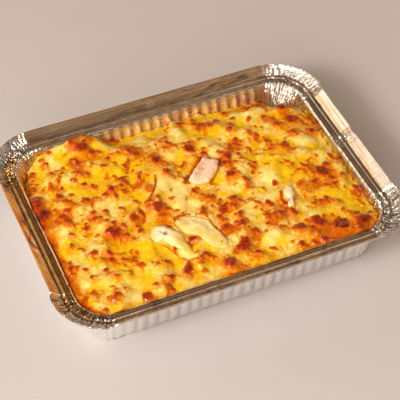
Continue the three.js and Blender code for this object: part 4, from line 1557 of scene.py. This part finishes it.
@dataclass(frozen=True)
class ChickenPiece:
    """One piece of chicken: a slab with a curved outline, a tilted, softly domed top and torn sides."""

    node: str
    name: str
    outline: tuple[Span, ...]
    middle: Span
    top: float
    tilt: Span
    crown: float
    depth: float
    grain: float
    seed: int
    finish: ChickenFinish
    stains: tuple[Stain, ...] = ()
    lap: float = 0.0
    free: Span = (0.0, 0.0)
    tear: float = 0.5
    lumps: float = 0.5
    flat: float = 0.8
    drop: float = 1.6
    around: int = 200
    rings: int = 40

    def build(self, effects: EffectLibrary) -> Piece:
        """Makes the piece with its finish."""
        share, sink = self._profile()
        edge = self._edge()
        spread = np.array(self.middle) + share[:, None, None] * (edge - np.array(self.middle))[None, :, :]
        x, y = spread[..., 0], spread[..., 1]
        fibre = self._fibres(x, y)
        z = self.surface(x, y) - sink[:, None] + 0.24 * fibre
        torn = layered_noise(x + 1.7 * z, y - 1.3 * z, 3.2, 3, self.seed)
        torn = smoothstep(share, 0.6, 0.98)[:, None] * torn
        x, y, z = x + self.tear * torn, y - self.tear * torn, z + 1.3 * self.tear * torn
        rows, columns = x.shape
        hubs = [[*self.middle, z[0].mean()], [*self.middle, z[-1].mean()]]
        vertices = np.concatenate([np.stack([x, y, z], axis=-1).reshape(-1, 3), hubs])
        faces = [face[::-1] for face in grid_faces(rows, columns, closed=True).tolist()]
        top, bottom, last = rows * columns, rows * columns + 1, (rows - 1) * columns
        for i in range(columns):
            beside = (i + 1) % columns
            faces.append([top, i, beside])
            faces.append([bottom, last + beside, last + i])
        values = {"fibre": 0.5 + 0.5 * fibre, **self._stain_values(x, y, share)}
        for key, grid in values.items():
            values[key] = np.concatenate([grid.ravel(), [grid[0].mean(), grid[-1].mean()]])
        return mesh_piece(self.name, vertices, faces, values, self.finish.make(effects))

    def share(self, x: Array, y: Array) -> Array:
        """How far out each point is, as a share of the way from the middle to the outline."""
        edge = self._edge() - np.array(self.middle)
        angles = np.arctan2(edge[:, 1], edge[:, 0])
        order = np.argsort(angles)
        reach = np.interp(
            np.arctan2(y - self.middle[1], x - self.middle[0]),
            angles[order],
            np.hypot(edge[:, 0], edge[:, 1])[order],
            period=2.0 * math.pi,
        )
        return np.hypot(x - self.middle[0], y - self.middle[1]) / reach

    def lap_at(self, x: Array, y: Array) -> Array:
        """How far the cheese laps over the edge: not at all at the free end."""
        towards = (x - self.middle[0]) * self.free[0] + (y - self.middle[1]) * self.free[1]
        return self.lap * (1.0 - smoothstep(towards, -16.0, -4.0))

    def surface(self, x: Array, y: Array) -> Array:
        """The height of the top face before its edge is rounded."""
        from_middle_x, from_middle_y = x - self.middle[0], y - self.middle[1]
        dome = self.crown * (1.0 - np.clip(self.share(x, y), 0.0, 1.2) ** 2)
        raised = sum(spot.rise * spot.nearness(x, y) for spot in self.stains)
        raised = raised + self.lumps * layered_noise(x, y, 7.5, 3, self.seed + 3)
        return self.top + self.tilt[0] * from_middle_x + self.tilt[1] * from_middle_y + dome + raised

    def top_at(self, x: Array, y: Array) -> Array:
        """The height of the top face with its edge rounded off."""
        turn = np.clip((self.share(x, y) - self.flat) / (1.0 - self.flat), 0.0, 1.0)
        return self.surface(x, y) - self.drop * (1.0 - np.sqrt(1.0 - turn**2))

    def _edge(self) -> Array:
        """The outline as a smooth closed curve."""
        corners = np.array(self.outline)
        count = len(corners)
        place = np.arange(self.around) * count / self.around
        index = place.astype(int)
        t = (place - index)[:, None]
        before, start, end, after = (corners[(index + k) % count] for k in (-1, 0, 1, 2))
        bend = 2.0 * before - 5.0 * start + 4.0 * end - after
        twist = 3.0 * (start - end) + after - before
        curve = 0.5 * (2.0 * start + (end - before) * t + bend * t**2 + twist * t**3)
        ragged = 0.05 * layered_noise(curve[:, :1], curve[:, 1:], 4.5, 3, self.seed + 5)
        return curve + ragged * (curve - np.array(self.middle))

    def _profile(self) -> tuple[Array, Array]:
        """The rings' shares of the way out, and how far each is sunk below the top face."""
        flat = np.linspace(0.05, self.flat, self.rings)
        turn = np.linspace(0.0, math.pi / 2.0, 11)[1:]
        rounded = self.flat + (1.0 - self.flat) * np.sin(turn)
        side = np.linspace(0.0, 1.0, 5)[1:]
        share = np.concatenate([flat, rounded, 1.0 - 0.12 * side])
        shoulder = self.drop * (1.0 - np.cos(turn))
        sink = np.concatenate([0.0 * flat, shoulder, self.drop + (self.depth - self.drop) * side])
        return share, sink

    def _fibres(self, x: Array, y: Array) -> Array:
        """Strands of meat along the grain, from -1 to 1."""
        along, across = along_and_across(x, y, math.radians(self.grain))
        return layered_noise(along / 11.0, across / 1.5, 1.0, 3, self.seed + 7)

    def _stain_values(self, x: Array, y: Array, share: Array) -> dict[str, Array]:
        """How much each kind of stain shows at each point: cheese also clings to the sides."""
        values = {kind.value: np.zeros_like(x) for kind in StainKind}
        for spot in self.stains:
            soft = spot.amount * spot.nearness(x, y)
            values[spot.kind.value] = np.maximum(values[spot.kind.value], soft)
        rim = smoothstep(share, 0.9 - 0.5 * self.lap, 1.0)[:, None] + 0.0 * x
        rim[np.argmax(share) + 1 :] = 1.0
        values[StainKind.CHEESE.value] = np.maximum(values[StainKind.CHEESE.value], 0.8 * rim)
        return values


def stains(kind: StainKind, *rows: tuple[float, ...]) -> tuple[Stain, ...]:
    """Stains of one kind: where each is, its reach, its strength and how far it is raised."""
    return tuple(Stain(kind, *row) for row in rows)


def chicken_pieces() -> list[ChickenPiece]:
    """The pieces of chicken that show on top."""
    white = ChickenFinish("chicken_white", (0.93, 0.72, 0.52), (0.86, 0.57, 0.38))
    bright = ChickenFinish("chicken_bright", (0.97, 0.86, 0.62), (0.93, 0.74, 0.42))
    cream = ChickenFinish("chicken_cream", (0.96, 0.84, 0.47), (0.90, 0.62, 0.16))
    pink, tan, cheese = StainKind.PINK, StainKind.TAN, StainKind.CHEESE
    chunk = ChickenPiece(
        node="chicken_chunk",
        name="ChickenChunk",
        outline=(
            (-1.3, 9.7), (0.8, 5.3), (4.7, 2.9), (11.3, 2.9), (17.0, 6.8), (22.2, 11.6), (25.4, 17.5),
            (25.8, 19.7), (19.8, 25.8), (18.7, 27.8), (14.5, 24.1), (7.5, 18.6), (1.7, 13.3),
        ),
        middle=(13, 15.5),
        top=40.6,
        tilt=(0.02, 0.03),
        crown=0.3,
        depth=5.0,
        grain=42,
        seed=5,
        finish=white,
        stains=(
            # The first pink row paints shade along the chunk's valley.
            *stains(
                pink,
                (19.0, 23.3, 2.4, 0.6, -0.6), (15.5, 20.0, 2.2, 0.75, -0.8), (11.8, 16.2, 2.2, 0.8, -0.8),
                (8.0, 12.0, 2.2, 0.65, -0.6), (5.0, 7.5, 2.4, 0.5),
            ),
            # The small tan spot paints shade in a crack; the larger one is browned meat.
            *stains(tan, (23.6, 20.2, 1.6, 0.35, 0.3), (12.2, 15.0, 0.7, 0.35, -0.3)),
            *stains(
                cheese,
                (2.6, 12.0, 1.6, 0.2, 0.9), (6.6, 16.4, 1.4, 0.15, 1.3), (11.0, 20.6, 1.4, 0.15, 0.9),
                (15.4, 24.4, 1.4, 0.15, 1.3), (4.6, 14.4, 0.9, 0.2, 0.7), (9.0, 18.4, 0.9, 0.2, 0.8),
                (13.1, 22.4, 0.9, 0.2, 0.7), (16, 5, 3.0, 0.5),
            ),
            *stains(pink, (20.5, 14.5, 4.0, 0.15, 0.8), (14.0, 9.0, 4.0, 0.15, 0.6)),
        ),
        tear=0.45,
        lumps=0.55,
        flat=0.66,
        drop=2.2,
    )
    curl = ChickenPiece(
        node="chicken_curl",
        name="ChickenCurl",
        outline=(
            (-46.6, -25.8), (-48.0, -31.9), (-46.4, -35.6), (-40.5, -36.1), (-36.8, -43.8),
            (-33.2, -51.5), (-29.7, -57.0), (-24.7, -57.5), (-23.7, -51.9), (-25.5, -42.5),
            (-24.7, -35.1), (-28.4, -29.3), (-32.8, -24.9), (-37.1, -20.8), (-42.5, -21.3),
        ),
        middle=(-34, -36),
        top=37.3,
        tilt=(-0.03, 0.09),
        crown=2.4,
        depth=5.0,
        grain=-58,
        seed=11,
        finish=bright,
        stains=(
            # The two tan spots paint shade in a small hole at the curl's rolled end.
            *stains(tan, (-37.6, -32.2, 1.2, 1.3, -1.8), (-40.0, -29.6, 0.9, 0.6, -1.0)),
            *stains(
                pink,
                (-37.5, -23.4, 1.5, 1.0, -1.0), (-33.8, -27.0, 1.5, 1.1, -1.2),
                (-30.4, -30.6, 1.5, 1.1, -1.2), (-27.4, -34.2, 1.5, 1.0, -0.8), (-45.5, -32.0, 1.8, 0.4),
            ),
            *stains(cheese, (-30, -43, 6, 1.0), (-26, -52, 8, 1.0), (-34, -43, 2.6, 0.5)),
        ),
        lap=0.5,
        free=(-0.32, 0.95),
        flat=0.45,
        drop=2.8,
    )
    broad = ChickenPiece(
        node="chicken_slice",
        name="ChickenSlice",
        outline=(
            (-25.6, -30.0), (-22.7, -35.9), (-17.4, -39.8), (-14.5, -47.2), (-12.1, -52.3), (-7.0, -57.0),
            (-1.5, -58.5), (1.0, -54.0), (0.2, -47.3), (-2.0, -40.1), (-3.2, -32.2), (-6.7, -26.0),
            (-13.2, -21.7), (-20.2, -19.8), (-27.0, -22.7),
        ),
        middle=(-12.5, -37),
        top=37.2,
        tilt=(0.02, -0.005),
        crown=0.9,
        depth=4.0,
        grain=-24,
        seed=17,
        finish=cream,
        stains=(
            *stains(cheese, (-16, -40, 4, 0.9), (-6, -50, 6, 0.7)),
            *stains(tan, (-23, -21.5, 1.8, 0.4), (-16, -21.5, 1.4, 0.35)),
            *stains(
                pink,
                (-19, -24.5, 2.4, 0.4, -0.4), (-12.5, -27.5, 2.0, 0.35, -0.6),
                (-8.5, -33.0, 2.0, 0.35, -0.6), (-6.0, -39.5, 2.0, 0.3, -0.6),
            ),
            *stains(
                cheese,
                (-22, -28, 3.0, 0.7, 0.5), (-14.5, -32, 1.8, 0.3, 0.7), (-10.5, -38, 1.8, 0.3, 0.7),
                (-4.5, -30.5, 1.6, 0.6, 0.4),
            ),
        ),
        lap=0.45,
        free=(0.5, 0.87),
        lumps=0.6,
    )
    bit = ChickenPiece(
        node="chicken_bit",
        name="ChickenBit",
        outline=(
            (64.4, -22.4), (61.9, -22.1), (57.7, -26.9), (57.0, -30.5), (57.4, -35.6), (56.0, -39.0),
            (54.6, -41.6), (55.5, -44.2), (58.6, -44.0), (59.8, -40.7), (61.5, -37.0), (63.0, -34.5),
            (65.0, -31.0), (65.8, -26.4),
        ),
        middle=(61, -31),
        top=38.2,
        tilt=(-0.05, 0.0),
        crown=1.2,
        depth=4.0,
        grain=72,
        seed=23,
        finish=bright,
        stains=(
            *stains(cheese, (64.5, -31, 2.2, 0.7), (61.5, -23.5, 2.5, 0.6)),
            *stains(tan, (57.2, -36.8, 1.2, 0.7, -0.4)),
            *stains(pink, (57, -42, 2.2, 0.5)),
        ),
        lap=0.4,
        free=(-0.4, 0.92),
        flat=0.55,
        lumps=0.9,
    )
    return [chunk, curl, broad, bit]


# --- Studio -------------------------------------------------------------------------------------------


@dataclass(frozen=True)
class SoftLight:
    """A rectangular lamp aimed at the tray."""

    name: str
    place: Place
    size: Span
    power: float
    colour: Colour
    mirrored: bool = False
    aim: Place = (0.0, 0.0, 0.03)

    def build(self) -> None:
        """Adds the lamp to the scene."""
        data = bpy.data.lights.new(self.name, "AREA")
        data.shape = "RECTANGLE"
        data.size, data.size_y = self.size
        data.energy = self.power
        data.color = self.colour
        lamp = bpy.data.objects.new(self.name, data)
        bpy.context.scene.collection.objects.link(lamp)
        lamp.visible_glossy = self.mirrored
        lamp.location = self.place
        lamp.rotation_euler = (Vector(self.aim) - Vector(self.place)).to_track_quat("-Z", "Y").to_euler()


@dataclass(frozen=True)
class Viewpoint:
    """The camera: where it looks from, with its turn, height and roll in degrees and lengths in metres."""

    azimuth: float = -24.035
    elevation: float = 46.718
    roll: float = 0.691
    distance: float = 1.02759
    target: Place = (0.012633, 0.021337, 0.0)
    lens: float = 120.735
    sensor: float = 36.0

    def build(self) -> None:
        """Adds the camera and makes it the scene's."""
        turn, rise, roll = (math.radians(angle) for angle in (self.azimuth, self.elevation, self.roll))
        ahead = Vector((-math.sin(turn) * math.cos(rise), math.cos(turn) * math.cos(rise), -math.sin(rise)))
        level = ahead.cross(Vector((0.0, 0.0, 1.0))).normalized()
        upright = level.cross(ahead)
        right = level * math.cos(roll) + upright * math.sin(roll)
        up = upright * math.cos(roll) - level * math.sin(roll)
        data = bpy.data.cameras.new("Camera")
        data.lens, data.sensor_width, data.clip_start = self.lens, self.sensor, 0.01
        camera = bpy.data.objects.new("Camera", data)
        bpy.context.scene.collection.objects.link(camera)
        frame = Matrix((right, up, -ahead)).transposed().to_4x4()
        frame.translation = Vector(self.target) - ahead * self.distance
        camera.matrix_world = frame
        bpy.context.scene.camera = camera


@dataclass(frozen=True)
class Glow:
    """A soft-edged bright part of the surroundings, with its inner and outer reach in degrees."""

    towards: Place
    colour: Colour
    reach: Span


@dataclass(frozen=True)
class Surroundings:
    """A dim, warm room, brighter low down all round, with a broad window and a pale ceiling beside it."""

    room: Colour = (0.235, 0.136, 0.068)
    low: Colour = (1.00, 0.84, 0.66)
    low_band: Span = (0.05, 0.58)
    clutter: Span = (0.30, 1.9)
    clutter_scale: float = 5.5
    glows: tuple[Glow, ...] = (
        Glow((0.25, -0.90, 0.32), (0.31, 0.195, 0.110), (26.0, 52.0)),
        Glow((-0.80, 0.48, 0.36), (0.92, 0.72, 0.53), (15.0, 25.0)),
        Glow((0.10, 0.98, 0.16), (1.15, 1.00, 0.82), (12.0, 22.0)),
        Glow((0.28, 0.02, 0.96), (0.95, 0.78, 0.60), (3.0, 7.0)),
        Glow((0.92, -0.02, 0.39), (1.32, 1.16, 0.99), (9.0, 17.0)),
        Glow((-0.40, 0.64, 0.66), (1.50, 1.30, 1.10), (5.0, 10.0)),
        Glow((-0.86, -0.48, 0.12), (1.20, 1.00, 0.80), (12.0, 22.0)),
        Glow((-0.64, -0.30, 0.70), (1.60, 1.52, 1.36), (22.0, 30.0)),
    )

    def build(self) -> None:
        """Makes the scene's world."""
        world = bpy.data.worlds.new("Surroundings")
        world.use_nodes = True
        pad = NodePad(world.node_tree)
        direction = pad.add("ShaderNodeTexCoord").outputs["Generated"]
        height = pad.add("ShaderNodeSeparateXYZ", {"Vector": direction}).outputs[2]
        colour = pad.mix(pad.spread(height, self.low_band), self.low, self.room)
        for glow in self.glows:
            sockets = {0: direction, 1: tuple(Vector(glow.towards).normalized())}
            facing = pad.add("ShaderNodeVectorMath", sockets, operation="DOT_PRODUCT").outputs["Value"]
            inner, outer = (math.cos(math.radians(angle)) for angle in glow.reach)
            colour = pad.mix(pad.spread(facing, (outer, inner)), colour, glow.colour)
        background = world.node_tree.nodes["Background"]
        clutter = pad.noise(self.clutter_scale, 3.0, direction, Roughness=0.65)
        strength = pad.spread(clutter, (0.40, 0.60), self.clutter)
        pad.fill(background, {"Color": colour, "Strength": strength})
        bpy.context.scene.world = world


@dataclass(frozen=True)
class Studio:
    """Pale floor, soft lamps, dim surroundings and the camera."""

    lamps: tuple[SoftLight, ...] = (
        SoftLight("Key", (-0.98, -0.52, 0.92), (0.34, 0.34), 13.6, (1.0, 0.955, 0.89), mirrored=True),
        SoftLight("FrontFill", (-0.75, -1.25, 0.55), (1.1, 0.7), 10.2, (1.0, 0.97, 0.95)),
        SoftLight("TopFill", (-0.1, -0.55, 1.5), (1.0, 0.8), 1.2, (1.0, 0.93, 0.84)),
    )
    surroundings: Surroundings = field(default_factory=Surroundings)
    floor: FloorFinish = field(default_factory=FloorFinish)
    viewpoint: Viewpoint = field(default_factory=Viewpoint)
    floor_reach: float = 4000.0

    def build(self, effects: EffectLibrary) -> None:
        """Sets the stage round the tray."""
        self.viewpoint.build()
        for lamp in self.lamps:
            lamp.build()
        self.surroundings.build()
        bpy.context.scene.view_settings.view_transform = "Standard"
        corners = np.array([[-1.0, -1.0, 0.0], [1.0, -1.0, 0.0], [1.0, 1.0, 0.0], [-1.0, 1.0, 0.0]])
        ground = mesh_piece("Floor", self.floor_reach * corners, [[0, 1, 2, 3]], {}, self.floor.make(effects))


# --- Assembly -----------------------------------------------------------------------------------------


def settle(piece: Piece, node: str) -> None:
    """Puts a piece on the body in place of its plain solid."""
    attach(piece, BODY)
    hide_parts(node)
    log.info("%s stands for %s with %d faces", piece.name, node, len(piece.data.polygons))


def main() -> None:
    """Builds the tray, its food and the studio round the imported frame."""
    logging.basicConfig(level=logging.INFO, format="%(name)s: %(message)s")
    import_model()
    effects = EffectLibrary()
    opening, wall = Opening(), TrayWall()
    pieces = chicken_pieces()
    crust = CheeseCrust(opening, wall, CheeseFinish(), nest=tuple(pieces))
    settle(FoilTray(opening, wall, FoilFinish(), crust.height).build(effects), "foil_tray")
    settle(crust.build(effects), "pasta_bake")
    for chicken in pieces:
        settle(chicken.build(effects), chicken.node)
    Studio().build(effects)


if __name__ == "__main__":
    main()
